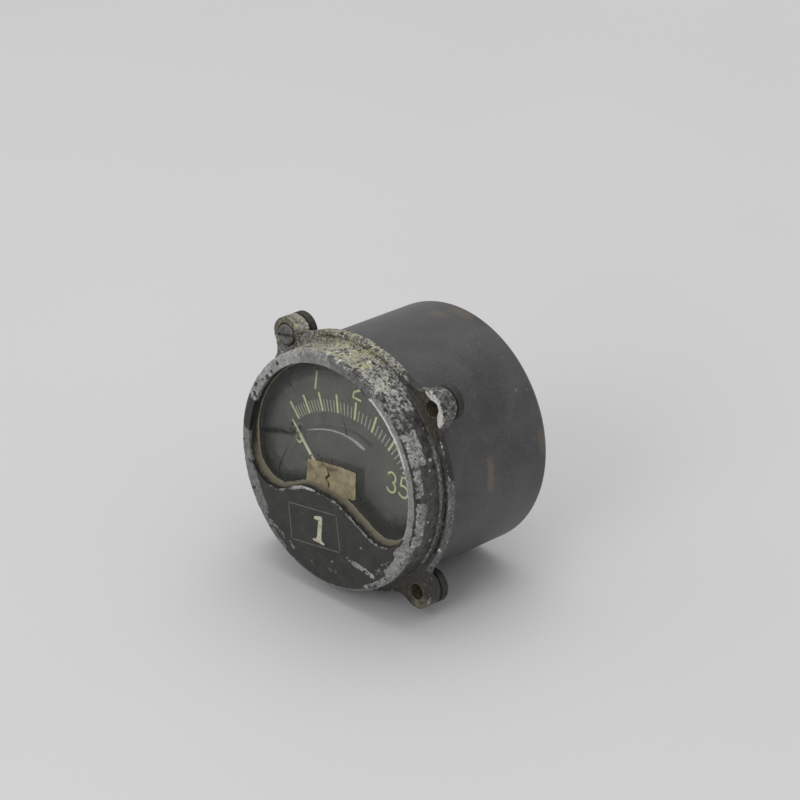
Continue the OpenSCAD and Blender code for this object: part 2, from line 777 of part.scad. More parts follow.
module case_cup() {
    inner_edge = case_edge - case_wall;
    color("#3d3d3f") difference() {
        turned(concat(
            [[case_bore_r, case_open], [case_r, case_open]],
            arc([case_r - case_edge, case_back - case_edge], case_edge, 0, 90, 8),
            [[0, case_back], [0, case_floor]],
            arc([case_bore_r - inner_edge, case_floor - inner_edge], inner_edge, 90, 0, 6)
        ));
        for (a = post_angles) at_polar(post_at, a) rod(1.6, case_floor - over, case_back + over);
        for (side = [-1, 1]) translate([side * terminal_x, 0, terminal_z])
            rod(stud_hole_r, case_floor - over, case_back + over);
        at_pivot() translate([0, 0, zero_arm_l]) rod(bush_hole_r, case_floor - over, case_back + over);
    }
}

module case_posts() {
    color("#b08d4a") for (a = post_angles) at_polar(post_at, a) difference() {
        union() {
            rod(post_r, plate_back, case_floor);
            rod(1.5, plate_y, plate_back);
        }
        rod(post_hole_r, case_floor - 9, case_floor + over);
    }
}

module case_screws() {
    color("#6f6f6d") for (a = post_angles) at_polar(post_at, a) translate([0, case_back, 0])
        slotted_screw(2.9, 1.7, post_hole_r - running_gap, 8, a * 1.7);
}

module terminal_block() {
    corner = 2;
    low = [-block_size[0] / 2, terminal_z - block_size[1] / 2];
    color("#33241c") difference() {
        union() {
            slab(case_back, block_back) union() {
                translate(low + [corner, 0]) square(block_size - [2 * corner, 0]);
                translate(low + [0, corner]) square(block_size - [0, 2 * corner]);
                for (i = [0, 1], j = [0, 1])
                    translate(low + [corner + i * (block_size[0] - 2 * corner),
                                     corner + j * (block_size[1] - 2 * corner)]) circle(r = corner);
            }
            for (side = [-1, 1]) translate([side * terminal_x, 0, terminal_z])
                rod(stud_hole_r - running_gap, case_floor, case_back);
        }
        translate([terminal_x, 0, terminal_z]) rod(positive_r + running_gap, case_floor - over, block_back + over);
        translate([-terminal_x, 0, terminal_z]) rod(negative_r + running_gap, case_floor - over, block_back + over);
        // The rib between the terminals stands between two shallow steps
        for (side = [-1, 1]) translate([side * terminal_x - 6.5, washer_y, terminal_z - 6])
            cube([13, 2, 12]);
    }
}

module terminal_insulators() {
    color("#7d6a4c") for (t = [[terminal_x, positive_r], [-terminal_x, negative_r]])
        translate([t[0], 0, terminal_z]) ring(t[1] + running_gap, 5, insulator_y, case_floor);
}

// A stud with a flat head inside the case and a free end turned down for the lead's eye
module terminal_stud(x, r, tint) {
    end = case_back + stud_l;
    chamfer = 0.5;
    free_r = r - free_step;
    color(tint) translate([x, 0, terminal_z]) {
        rod(stud_head_r, strap_y - stud_head_t, strap_y);
        rod(r, strap_y, free_y);
        rod(free_r, free_y, end - chamfer);
        cone(free_r, free_r - chamfer, end - chamfer, end);
    }
}

module terminal_stud_positive() {
    terminal_stud(terminal_x, positive_r, "#a9823f");
}

module terminal_stud_negative() {
    terminal_stud(-terminal_x, negative_r, "#9a9a95");
}

module terminal_washers() {
    color("#a9823f") for (t = [[terminal_x, positive_r], [-terminal_x, negative_r]])
        translate([t[0], 0, terminal_z]) ring(t[1] + running_gap, 4.3, washer_y, washer_y + washer_t);
}

module terminal_nuts() {
    seat = washer_y + washer_t;
    corner_r = nut_flats / 2 / cos(30);
    color("#a9823f") for (t = [[terminal_x, positive_r], [-terminal_x, negative_r]])
        translate([t[0], 0, terminal_z]) difference() {
            intersection() {
                translate([0, seat, 0]) rotate([-90, 0, 0]) cylinder(r = corner_r, h = terminal_nut_t, $fn = 6);
                cone(corner_r + 0.1 + terminal_nut_t, nut_flats / 2 + 0.05, seat, seat + terminal_nut_t);
            }
            rod(t[1] + running_gap, seat - over, seat + terminal_nut_t + over);
        }
}

module lead_straps() {
    foot_y = plate_back + 1.6;
    color("#9c5b34") for (t = [[1, positive_r], [-1, negative_r]]) scale([t[0], 1, 1]) {
        difference() {
            union() {
                translate([terminal_x, 0, terminal_z]) rod(stud_head_r, strap_y, insulator_y);
                translate([terminal_x, strap_y, terminal_z - strap_half_w])
                    cube([strap_x - terminal_x, strap_t, 2 * strap_half_w]);
                translate([strap_x - strap_t, foot_y, terminal_z - strap_half_w])
                    cube([strap_t, insulator_y - foot_y, 2 * strap_half_w]);
            }
            translate([terminal_x, 0, terminal_z]) rod(t[1] + running_gap, strap_y - over, insulator_y + over);
        }
    }
}

module tag_boards() {
    color("#7d6a4c") for (side = [-1, 1])
        translate([side * (strap_x - strap_t / 2) - 3, plate_back, terminal_z - 4]) cube([6, 1.6, 8]);
}

module lug_nuts() {
    edge = 0.3;
    back = lug_t + nut_neck_l + nut_t;
    flat_at = lug_at - case_r - 0.25;
    color("#2e2b29") for (a = lug_angles) rotate([0, -a, 0]) translate([lug_at, 0, 0]) difference() {
        turned(concat(
            [[0, lug_t], [nut_neck_r, lug_t], [nut_neck_r, lug_t + nut_neck_l]],
            arc([nut_r - edge, lug_t + nut_neck_l + edge], edge, -90, 0, 3),
            arc([nut_r - edge, back - edge], edge, 0, 90, 3),
            [[0, back]]
        ));
        rod(nut_hole_r, lug_t - over, back + over);
        // The flat that bears against the case and keeps the nut from turning
        translate([-flat_at - 4, lug_t - over, -nut_r - 1]) cube([4, back, 2 * nut_r + 2]);
    }
}

module lug_screw() {
    color("#77776f") rotate([0, -screw_lug, 0]) translate([lug_at, lug_recess_d, 0]) rotate([180, 0, 0])
        slotted_screw(screw_head_r, 1.9, nut_hole_r - running_gap, lug_t + nut_neck_l + nut_t - lug_recess_d, 60);
}

bezel_casting();
cover_glass();
glass_gasket();
glass_ring();
paper_label();
dial_plate();
dial_screws();
dial_pillars();
pointer_stops();
movement_plate();
movement_screws();
magnet();
pole_piece_left();
pole_piece_right();
magnet_screws();
core();
core_spacers();
front_bridge();
rear_bridge();
bridge_pillars();
bridge_screws();
front_jewel_screw();
rear_jewel_screw();
moving_coil();
front_pivot();
rear_pivot();
pointer();
balance_weights();
front_hairspring();
rear_hairspring();
spring_anchor();
zero_arm();
bimetal_spiral();
zero_screw();
zero_bush();
bush_nut();
resistor_bobbin();
resistor_winding();
case_gasket();
case_cup();
case_posts();
case_screws();
terminal_block();
terminal_insulators();
terminal_stud_positive();
terminal_stud_negative();
terminal_washers();
terminal_nuts();
lead_straps();
tag_boards();
lug_nuts();
lug_screw();
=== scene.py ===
"""Looks of the panel-mounted temperature gauge: worn finishes, dial marks, glass and threads.

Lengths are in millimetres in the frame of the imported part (+Z up on the dial, -Y out of the
dial) and become metres where a mesh is made. Angles go anticlockwise from +X, seen from the
front, except where a comment counts them from straight up."""
import json
import math

import bmesh
import bpy
import numpy as np
from mathutils import Matrix, Vector, noise
from mathutils.bvhtree import BVHTree
from mathutils.kdtree import KDTree

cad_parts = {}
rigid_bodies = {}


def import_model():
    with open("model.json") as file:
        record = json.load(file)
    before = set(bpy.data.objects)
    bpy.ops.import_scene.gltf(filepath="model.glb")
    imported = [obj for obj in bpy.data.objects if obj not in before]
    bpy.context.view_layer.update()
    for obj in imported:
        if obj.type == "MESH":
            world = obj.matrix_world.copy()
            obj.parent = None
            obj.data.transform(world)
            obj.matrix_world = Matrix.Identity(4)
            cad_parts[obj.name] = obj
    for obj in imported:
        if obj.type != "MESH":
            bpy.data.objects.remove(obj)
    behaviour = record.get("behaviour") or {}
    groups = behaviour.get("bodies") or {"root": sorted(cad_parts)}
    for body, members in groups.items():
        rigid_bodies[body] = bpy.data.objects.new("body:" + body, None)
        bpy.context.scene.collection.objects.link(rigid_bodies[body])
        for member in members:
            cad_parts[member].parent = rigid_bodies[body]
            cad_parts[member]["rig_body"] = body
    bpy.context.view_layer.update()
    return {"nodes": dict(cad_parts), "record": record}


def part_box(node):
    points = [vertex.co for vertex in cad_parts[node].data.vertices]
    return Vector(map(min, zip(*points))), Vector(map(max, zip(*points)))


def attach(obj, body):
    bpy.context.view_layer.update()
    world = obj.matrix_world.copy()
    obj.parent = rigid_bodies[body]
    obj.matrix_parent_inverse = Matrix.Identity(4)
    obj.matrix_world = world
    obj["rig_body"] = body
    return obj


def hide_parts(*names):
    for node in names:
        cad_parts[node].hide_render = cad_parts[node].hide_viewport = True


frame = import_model()
MM = 0.001
SLOT_OF = {s["node"]: s["material_slot"] for s in frame["record"]["subparts"]}


def corner(node, which):
    """Lowest (0) or highest (1) corner of a CAD node, in millimetres."""
    return Vector(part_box(node)[which]) / MM


# Places and sizes taken from the frame
FRONT = corner("bezel_casting", 0).y
GLASS_FRONT = corner("cover_glass", 0).y
GLASS_BACK = corner("cover_glass", 1).y
DIAL_FACE = corner("dial_plate", 0).y
FLANGE_R = round(corner("bezel_casting", 1).x, 1)
CASE_R = round(corner("case_cup", 1).x, 2)
CASE_BACK = corner("case_cup", 1).y
PIVOT_Z = (corner("front_pivot", 0).z + corner("front_pivot", 1).z) / 2
# Outside radius of the bezel in front of its flange
BEZEL_R = 35
# Radius of the window's round edge
WINDOW_R = 31.4
# Distance of the mounting holes from the axis
LUG_AT = 40.26


# Materials


class Nodes:
    """Adds nodes to a tree and joins them. An input given as a socket is linked, any other is set."""

    def __init__(self, tree):
        self.tree = tree

    def add(self, kind, inputs=(), **settings):
        node = self.tree.nodes.new(kind)
        for name, value in settings.items():
            setattr(node, name, value)
        for name, value in dict(inputs).items():
            self.join(value, node.inputs[name])
        return node

    def join(self, value, socket):
        if isinstance(value, bpy.types.NodeSocket):
            self.tree.links.new(value, socket)
        else:
            socket.default_value = value

    def math(self, operation, a, b=0.0, clamp=False):
        return self.add("ShaderNodeMath", {0: a, 1: b}, operation=operation, use_clamp=clamp).outputs[0]

    def plus(self, a, b):
        return self.math("ADD", a, b)

    def minus(self, a, b):
        return self.math("SUBTRACT", a, b)

    def times(self, a, b):
        return self.math("MULTIPLY", a, b)

    def vector_math(self, operation, a, b=(0, 0, 0)):
        """A vector, or with LENGTH its length."""
        node = self.add("ShaderNodeVectorMath", {0: a, 1: b}, operation=operation)
        return node.outputs["Value" if operation == "LENGTH" else "Vector"]

    def mix(self, share, a, b, blend="MIX"):
        node = self.add("ShaderNodeMix", {0: share, 6: a, 7: b}, data_type="RGBA", blend_type=blend)
        return node.outputs[2]

    def blend_value(self, share, a, b):
        return self.add("ShaderNodeMix", {0: share, 2: a, 3: b}, data_type="FLOAT").outputs[0]

    def ramp(self, value, low, high, to_low=0.0, to_high=1.0):
        node = self.add("ShaderNodeMapRange", {0: value, 1: low, 2: high, 3: to_low, 4: to_high})
        return node.outputs[0]

    def noise(self, vector, scale, detail=3.0, roughness=0.5, distortion=0.0):
        node = self.add("ShaderNodeTexNoise", {"Vector": vector, "Scale": scale, "Detail": detail,
                                               "Roughness": roughness, "Distortion": distortion})
        return node.outputs["Fac"]

    def use(self, group, inputs):
        node = self.tree.nodes.new("ShaderNodeGroup")
        node.node_tree = group
        for name, value in inputs.items():
            self.join(value, node.inputs[name])
        return node.outputs


def rgb(r, g, b):
    return (r, g, b, 1.0)


SOCKETS = {"vector": "NodeSocketVector", "value": "NodeSocketFloat", "colour": "NodeSocketColor",
           "count": "NodeSocketInt", "geometry": "NodeSocketGeometry", "material": "NodeSocketMaterial"}


def new_group(name, inputs, outputs, kind="ShaderNodeTree"):
    """An empty node group with named sockets: its nodes, what it is given and what it puts out."""
    tree = bpy.data.node_groups.new(name, kind)
    for socket_name, socket_kind, default in inputs:
        socket = tree.interface.new_socket(socket_name, in_out="INPUT", socket_type=SOCKETS[socket_kind])
        if default is not None:
            socket.default_value = default
    for socket_name, socket_kind in outputs:
        tree.interface.new_socket(socket_name, in_out="OUTPUT", socket_type=SOCKETS[socket_kind])
    nodes = Nodes(tree)
    return nodes, nodes.add("NodeGroupInput").outputs, nodes.add("NodeGroupOutput").inputs


def worn_through_group():
    """Ragged mask: nothing at amount 0, everything at amount 1, torn islands between."""
    n, given, out = new_group(
        "Worn through",
        [("Vector", "vector", None), ("Amount", "value", 0.3), ("Scale", "value", 1.0),
         ("Softness", "value", 0.1)],
        [("Mask", "value"), ("Field", "value")])
    grain = n.noise(given["Vector"], given["Scale"], 5.0, 0.62)
    lifted = n.plus(n.times(grain, 1.9), n.times(given["Amount"], 1.5))
    edge = n.math("DIVIDE", n.minus(lifted, 1.72), given["Softness"])
    n.join(n.math("ADD", edge, 0.5, clamp=True), out["Mask"])
    n.join(lifted, out["Field"])
    return n.tree


def speckle_group():
    """Colour and height of corroded light metal: dark pits, grey ground, white bloom and painted glints."""
    n, given, out = new_group(
        "Corrosion speckle",
        [("Vector", "vector", None), ("Scale", "value", 1.0), ("Dark", "colour", rgb(0.04, 0.04, 0.04)),
         ("Ground", "colour", rgb(0.3, 0.3, 0.29)), ("Bloom", "colour", rgb(0.6, 0.6, 0.58)),
         ("Stain", "colour", rgb(0.4, 0.36, 0.12)), ("Stain amount", "value", 0.0),
         ("Contrast", "value", 0.5)],
        [("Color", "colour"), ("Height", "value")])
    fine = n.noise(given["Vector"], given["Scale"], 5.0, 0.7)
    coarse = n.noise(given["Vector"], n.times(given["Scale"], 0.35), 3.0, 0.6)
    shown = n.ramp(given["Contrast"], 0.0, 1.0, 0.25, 1.0)
    cover = n.plus(n.times(fine, 0.72), n.times(coarse, 0.28))
    pits = n.times(n.ramp(cover, 0.48, 0.42), shown)
    bloom = n.times(n.ramp(cover, 0.53, 0.61), given["Contrast"])
    ground = n.mix(n.ramp(coarse, 0.38, 0.62), given["Ground"], n.mix(0.4, given["Ground"], given["Dark"]))
    hollow = n.times(n.ramp(coarse, 0.44, 0.36), n.times(given["Contrast"], 0.6))
    stain = n.times(given["Stain amount"], n.times(n.ramp(coarse, 0.4, 0.56), n.ramp(fine, 0.4, 0.56)))
    colour = n.mix(n.math("MAXIMUM", pits, hollow), ground, given["Dark"])
    colour = n.mix(bloom, colour, given["Bloom"])
    colour = n.mix(n.times(stain, 0.85), colour, n.mix(0.3, given["Stain"], colour))
    # Small near-white specks are painted glints: the sparkle of light on the crust, painted into its colour
    painted_glint = n.times(n.ramp(fine, 0.63, 0.69), given["Contrast"])
    colour = n.mix(painted_glint, colour, rgb(0.92, 0.92, 0.88))
    finest = n.noise(given["Vector"], n.times(given["Scale"], 2.7), 2.0, 0.6)
    grit = n.ramp(finest, 0.36, 0.64, -1.0, 1.0)
    depth = n.plus(1.0, n.times(grit, n.times(shown, 0.5)))
    shade = n.add("ShaderNodeCombineColor", {0: depth, 1: depth, 2: depth}).outputs[0]
    n.join(n.mix(1.0, colour, shade, "MULTIPLY"), out["Color"])
    n.join(n.minus(n.times(bloom, 0.6), pits), out["Height"])
    return n.tree


def grain_group():
    """Fine pebble of sprayed paint with slow patches: a value round 0.5 and a height."""
    n, given, out = new_group(
        "Paint grain",
        [("Vector", "vector", None), ("Scale", "value", 3.0), ("Patches", "value", 0.15)],
        [("Value", "value"), ("Height", "value")])
    pebble = n.noise(given["Vector"], given["Scale"], 3.0, 0.6)
    patch = n.noise(given["Vector"], given["Patches"], 3.0, 0.55, 0.6)
    n.join(n.plus(n.times(pebble, 0.45), n.times(patch, 0.55)), out["Value"])
    n.join(pebble, out["Height"])
    return n.tree


def spot_group():
    """Ragged patch round a point, with its own reach along X, Y and Z."""
    n, given, out = new_group(
        "Patch",
        [("Vector", "vector", None), ("Centre", "vector", (0, 0, 0)), ("Reach", "vector", (1, 1, 1)),
         ("Ragged", "value", 0.5), ("Scale", "value", 0.6)],
        [("Mask", "value")])
    offset = n.vector_math("SUBTRACT", given["Vector"], given["Centre"])
    away = n.vector_math("LENGTH", n.vector_math("DIVIDE", offset, given["Reach"]))
    grain = n.noise(given["Vector"], given["Scale"], 4.0, 0.6)
    torn = n.times(n.minus(grain, 0.5), n.times(given["Ragged"], 4.0))
    n.join(n.ramp(n.plus(away, torn), 1.15, 0.55), out["Mask"])
    return n.tree


def scratch_group():
    """Long fine marks along one way, for turned metal, handling scratches and brushed plate."""
    n, given, out = new_group(
        "Scratches",
        [("Vector", "vector", None), ("Stretch", "vector", (1, 0.05, 1)), ("Scale", "value", 2.0),
         ("Amount", "value", 0.3)],
        [("Mask", "value"), ("Height", "value")])
    drawn = n.vector_math("MULTIPLY", given["Vector"], given["Stretch"])
    lines = n.noise(drawn, given["Scale"], 2.0, 0.5, 0.2)
    gate = n.noise(given["Vector"], 0.25, 2.0, 0.5)
    limit = n.minus(0.78, n.times(given["Amount"], 0.25))
    mask = n.ramp(lines, limit, n.plus(limit, 0.04))
    n.join(n.times(mask, n.ramp(gate, 0.42, 0.6)), out["Mask"])
    n.join(lines, out["Height"])
    return n.tree


def dirt_group():
    """Dust and brown dirt in slow clouds: how much lies there, and its colour."""
    n, given, out = new_group(
        "Dirt",
        [("Vector", "vector", None), ("Amount", "value", 0.3), ("Scale", "value", 0.5),
         ("Pale", "colour", rgb(0.2, 0.19, 0.16)), ("Brown", "colour", rgb(0.09, 0.06, 0.035))],
        [("Mask", "value"), ("Color", "colour")])
    cloud = n.noise(given["Vector"], given["Scale"], 5.0, 0.6, 0.4)
    shifted = n.plus(cloud, n.minus(n.times(given["Amount"], 0.7), 0.35))
    n.join(n.ramp(shifted, 0.42, 0.75), out["Mask"])
    tone = n.noise(given["Vector"], n.times(given["Scale"], 1.7), 2.0, 0.5)
    n.join(n.mix(n.ramp(tone, 0.4, 0.6), given["Pale"], given["Brown"]), out["Color"])
    return n.tree


WORN = worn_through_group()
SPECKLE = speckle_group()
GRAIN = grain_group()
PATCH = spot_group()
SCRATCH = scratch_group()
DIRT = dirt_group()


def start_material(name):
    """A new material with a Principled shader: its nodes, the shader and the place in millimetres."""
    material = bpy.data.materials.new(name)
    material.use_nodes = True
    n = Nodes(material.node_tree)
    shader = material.node_tree.nodes["Principled BSDF"]
    place = n.add("ShaderNodeTexCoord").outputs["Object"]
    millimetres = n.add("ShaderNodeVectorMath", {0: place, "Scale": 1 / MM}, operation="SCALE").outputs[0]
    return material, n, shader, millimetres


def bump(n, shader, height, depth, strength=0.6):
    """Fine relief of that depth in millimetres."""
    node = n.add("ShaderNodeBump", {"Height": height, "Distance": depth * MM, "Strength": strength})
    n.join(node.outputs[0], shader.inputs["Normal"])


def roughen(n, shader, value, low, high):
    """Roughness between two levels, following a noise value."""
    n.join(n.ramp(value, 0.3, 0.7, low, high), shader.inputs["Roughness"])


def attribute(n, name):
    """The values that a piece's mesh stores under this name."""
    return n.add("ShaderNodeAttribute", attribute_name=name).outputs["Fac"]


def bezel_material():
    """Black paint on a corroded light-metal casting, steered by the casting's attributes of wear, dirt and
    painted shade.
    """
    material, n, shader, place = start_material("Worn black bezel")
    bare, oxide, grime_and_shade, tan, crust, bright, dusty, lining = (attribute(n, a) for a in WEAR_LAYERS)
    grain = n.use(GRAIN, {"Vector": place, "Scale": 1.8, "Patches": 0.3})
    tone = n.ramp(grain["Value"], 0.36, 0.62)
    paint = n.mix(tone, rgb(0.009, 0.009, 0.008), rgb(0.037, 0.036, 0.031))
    film = n.times(dusty, n.ramp(n.noise(place, 0.5, 4.0, 0.65), 0.35, 0.65))
    paint = n.mix(n.times(film, 0.75), paint, rgb(0.125, 0.125, 0.12))
    dust = n.ramp(n.noise(place, 2.4, 2.0, 0.5), 0.66, 0.74)
    paint = n.mix(n.times(dust, 0.35), paint, rgb(0.16, 0.155, 0.135))
    ground = n.mix(bright, rgb(0.06, 0.061, 0.057), rgb(0.52, 0.52, 0.5))
    # Bare metal above 0.82 turns nearly white: white corrosion flakes, and the painted highlight along the
    # window's right edge
    ground = n.mix(n.ramp(bright, 0.82, 1.0), ground, rgb(0.8, 0.8, 0.77))
    speckle = n.use(SPECKLE, {
        "Vector": place, "Scale": 1.0, "Dark": rgb(0.024, 0.023, 0.019), "Ground": ground,
        "Bloom": rgb(0.7, 0.7, 0.65), "Stain": rgb(0.46, 0.42, 0.09), "Stain amount": oxide,
        "Contrast": crust})
    worn = n.use(WORN, {"Vector": place, "Amount": bare, "Scale": 0.8, "Softness": 0.18})
    colour = n.mix(worn["Mask"], paint, speckle["Color"])
    # A pale fringe round the worn-through patches: a painted highlight on the chips' broken edges, stronger
    # where the metal is brighter
    rim = n.times(n.ramp(worn["Field"], 1.58, 1.7), n.ramp(worn["Field"], 1.92, 1.78))
    colour = n.mix(n.times(n.times(rim, bright), 0.35), colour, rgb(0.5, 0.5, 0.48))
    # Brown dirt laid by the grime layer: real dirt, and painted shade darkening the corner by the flange, the
    # lug holes and the window's wall
    dirt = n.use(DIRT, {"Vector": place, "Amount": grime_and_shade, "Scale": 0.7,
                        "Pale": rgb(0.115, 0.098, 0.066), "Brown": rgb(0.043, 0.033, 0.021)})
    colour = n.mix(n.times(dirt["Mask"], n.ramp(grime_and_shade, 0.0, 0.35)), colour, dirt["Color"])
    clay = n.mix(grain["Value"], rgb(0.1, 0.085, 0.055), rgb(0.27, 0.24, 0.165))
    colour = n.mix(n.times(tan, 0.85), colour, clay)
    colour = n.mix(lining, colour, n.mix(tone, rgb(0.03, 0.032, 0.024), rgb(0.075, 0.078, 0.06)))
    n.join(colour, shader.inputs["Base Color"])
    satin = n.ramp(grain["Value"], 0.3, 0.7, 0.42, 0.6)
    n.join(n.blend_value(worn["Mask"], satin, 0.8), shader.inputs["Roughness"])
    eaten = n.times(worn["Mask"], n.plus(speckle["Height"], -0.4))
    bump(n, shader, n.plus(n.times(grain["Height"], 0.25), eaten), 0.14, 0.7)
    return material


def crumb_material():
    """Loose corrosion grains: white, grey and yellow-green, each grain its own shade."""
    material, n, shader, place = start_material("Corrosion grains")
    tone = n.noise(place, 1.1, 2.0, 0.6)
    fine = n.noise(place, 4.0, 3.0, 0.6)
    colour = n.mix(n.ramp(tone, 0.4, 0.62), rgb(0.55, 0.55, 0.5), rgb(0.36, 0.33, 0.15))
    colour = n.mix(n.ramp(fine, 0.5, 0.7), colour, rgb(0.2, 0.19, 0.15))
    n.join(colour, shader.inputs["Base Color"])
    roughen(n, shader, fine, 0.75, 0.95)
    bump(n, shader, fine, 0.05)
    return material


def case_material():
    """Smooth charcoal enamel of the case, worn brown along its rear edge, with a few brown scuffs."""
    material, n, shader, place = start_material("Charcoal case enamel")
    grain = n.use(GRAIN, {"Vector": place, "Scale": 1.6, "Patches": 0.07})
    colour = n.mix(n.ramp(grain["Value"], 0.36, 0.66), rgb(0.038, 0.038, 0.04), rgb(0.082, 0.082, 0.085))
    along = n.add("ShaderNodeSeparateXYZ", {0: place}).outputs["Y"]
    radius = n.vector_math("LENGTH", n.vector_math("MULTIPLY", place, (1, 0, 1)))
    near_back = n.ramp(along, CASE_BACK - 2.6, CASE_BACK - 0.7)
    edge = n.times(near_back, n.ramp(radius, CASE_R - 2.4, CASE_R - 0.6))
    worn = n.use(WORN, {"Vector": place, "Amount": n.times(edge, 0.62), "Scale": 0.5, "Softness": 0.3})
    colour = n.mix(n.times(worn["Mask"], 0.75), colour, rgb(0.13, 0.1, 0.065))
    for centre, reach, share in SCUFFS:
        patch = n.use(PATCH, {"Vector": place, "Centre": centre, "Reach": reach, "Ragged": 0.45,
                              "Scale": 0.45})
        colour = n.mix(n.times(patch["Mask"], share), colour, rgb(0.14, 0.108, 0.07))
    lines = n.use(SCRATCH, {"Vector": place, "Stretch": (1, 0.12, 1), "Scale": 1.6, "Amount": 0.3})
    colour = n.mix(n.times(lines["Mask"], 0.35), colour, rgb(0.18, 0.18, 0.178))
    dirt = n.use(DIRT, {"Vector": place, "Amount": 0.36, "Scale": 0.12, "Pale": rgb(0.1, 0.098, 0.092),
                        "Brown": rgb(0.06, 0.05, 0.038)})
    colour = n.mix(n.times(dirt["Mask"], 0.5), colour, dirt["Color"])
    specks = n.ramp(n.noise(place, 1.3, 1.0, 0.4), 0.755, 0.775)
    colour = n.mix(n.times(specks, 0.5), colour, rgb(0.3, 0.29, 0.27))
    n.join(colour, shader.inputs["Base Color"])
    roughen(n, shader, grain["Value"], 0.38, 0.5)
    bump(n, shader, n.plus(grain["Height"], lines["Height"]), 0.02, 0.5)
    return material


def paint_material(name, dark, light, roughness, scale=3.0, dust=0.3, dust_colour=(0.2, 0.19, 0.16),
                   specks=0.0):
    """Matt or satin paint with grain and a film of dust."""
    material, n, shader, place = start_material(name)
    grain = n.use(GRAIN, {"Vector": place, "Scale": scale, "Patches": 0.12})
    colour = n.mix(n.ramp(grain["Value"], 0.36, 0.66), rgb(*dark), rgb(*light))
    dirt = n.use(DIRT, {"Vector": place, "Amount": dust, "Scale": 0.22, "Pale": rgb(*dust_colour),
                        "Brown": rgb(*(c * 0.5 for c in dust_colour))})
    colour = n.mix(n.times(dirt["Mask"], 0.5), colour, dirt["Color"])
    motes = n.ramp(n.noise(place, 2.1, 4.0, 0.7), 0.55, 0.7, 0.0, specks)
    colour = n.mix(motes, colour, rgb(0.2, 0.2, 0.145))
    n.join(colour, shader.inputs["Base Color"])
    roughen(n, shader, grain["Value"], roughness - 0.06, roughness + 0.08)
    bump(n, shader, grain["Height"], 0.03, 0.5)
    return material


def metal_material(name, colour, tarnish, roughness, metallic=0.9, stretch=(1, 0.06, 1), worn=0.3):
    """Metal with drawn marks and patches of tarnish that are duller and rougher."""
    material, n, shader, place = start_material(name)
    lines = n.use(SCRATCH, {"Vector": place, "Stretch": stretch, "Scale": 5.0, "Amount": 0.5})
    patch = n.use(WORN, {"Vector": place, "Amount": worn, "Scale": 0.7, "Softness": 0.5})
    ground = n.mix(n.ramp(lines["Height"], 0.3, 0.7), rgb(*(c * 0.85 for c in colour)), rgb(*colour))
    n.join(n.mix(patch["Mask"], ground, rgb(*tarnish)), shader.inputs["Base Color"])
    n.join(n.blend_value(patch["Mask"], roughness, min(roughness + 0.3, 0.95)), shader.inputs["Roughness"])
    n.join(n.blend_value(patch["Mask"], metallic, metallic * 0.35), shader.inputs["Metallic"])
    bump(n, shader, n.plus(lines["Height"], patch["Field"]), 0.02, 0.4)
    return material


def moulded_material(name, dark, light, roughness=0.4):
    """Moulded or pressed insulation: mottled, with fine flecks."""
    material, n, shader, place = start_material(name)
    fleck = n.noise(place, 2.4, 4.0, 0.65)
    cloud = n.noise(place, 0.3, 3.0, 0.5)
    tone = n.plus(n.times(fleck, 0.5), n.times(cloud, 0.5))
    n.join(n.mix(n.ramp(tone, 0.38, 0.62), rgb(*dark), rgb(*light)), shader.inputs["Base Color"])
    roughen(n, shader, cloud, roughness - 0.08, roughness + 0.12)
    bump(n, shader, fleck, 0.02, 0.4)
    return material


def paper_material():
    """Aged label paper: tan, stained brown in the middle and along its fold, with fibres."""
    material, n, shader, place = start_material("Aged paper")
    stain = attribute(n, "stain")
    cloud = n.noise(place, 0.35, 4.0, 0.6, 0.5)
    fibre = n.noise(place, 3.2, 3.0, 0.7)
    colour = n.mix(n.ramp(cloud, 0.35, 0.65), rgb(0.2, 0.168, 0.096), rgb(0.355, 0.308, 0.192))
    colour = n.mix(n.ramp(fibre, 0.55, 0.75), colour, rgb(0.17, 0.12, 0.065))
    soaked = n.ramp(n.plus(stain, n.times(fibre, 0.5)), 0.45, 0.95)
    colour = n.mix(soaked, colour, rgb(0.045, 0.03, 0.018))
    n.join(colour, shader.inputs["Base Color"])
    roughen(n, shader, fibre, 0.75, 0.92)
    bump(n, shader, fibre, 0.04, 0.6)
    return material


def luminous_material(name, fresh, aged, wear):
    """Raised luminous paint: yellow-green, browned in places and worn thin."""
    material, n, shader, place = start_material(name)
    patch = n.use(WORN, {"Vector": place, "Amount": wear, "Scale": 1.2, "Softness": 0.5})
    fine = n.noise(place, 5.0, 3.0, 0.6)
    colour = n.mix(patch["Mask"], rgb(*fresh), rgb(*aged))
    n.join(n.mix(n.ramp(fine, 0.55, 0.8), colour, rgb(*aged)), shader.inputs["Base Color"])
    roughen(n, shader, fine, 0.65, 0.85)
    bump(n, shader, fine, 0.03, 0.4)
    return material


def glass_material(name, haze):
    """Clear glass that lets the light through to the dial, with a faint film of dust."""
    material, n, shader, place = start_material(name)
    plain = {"Base Color": rgb(0.93, 0.95, 0.94), "Metallic": 0.0, "Transmission Weight": 1.0, "IOR": 1.12,
             "Coat Weight": 1.0, "Coat IOR": 1.5, "Coat Roughness": 0.06}
    for socket_name, value in plain.items():
        shader.inputs[socket_name].default_value = value
    film = n.noise(place, 0.22, 5.0, 0.6, 0.5)
    n.join(n.ramp(film, 0.35, 0.75, haze * 0.3, haze), shader.inputs["Roughness"])
    clear = n.add("ShaderNodeBsdfTransparent", {"Color": rgb(0.9, 0.92, 0.91)})
    shadow = n.add("ShaderNodeLightPath").outputs["Is Shadow Ray"]
    both = n.add("ShaderNodeMixShader", {0: shadow, 1: shader.outputs[0], 2: clear.outputs[0]})
    n.join(both.outputs[0], n.tree.nodes["Material Output"].inputs["Surface"])
    return material


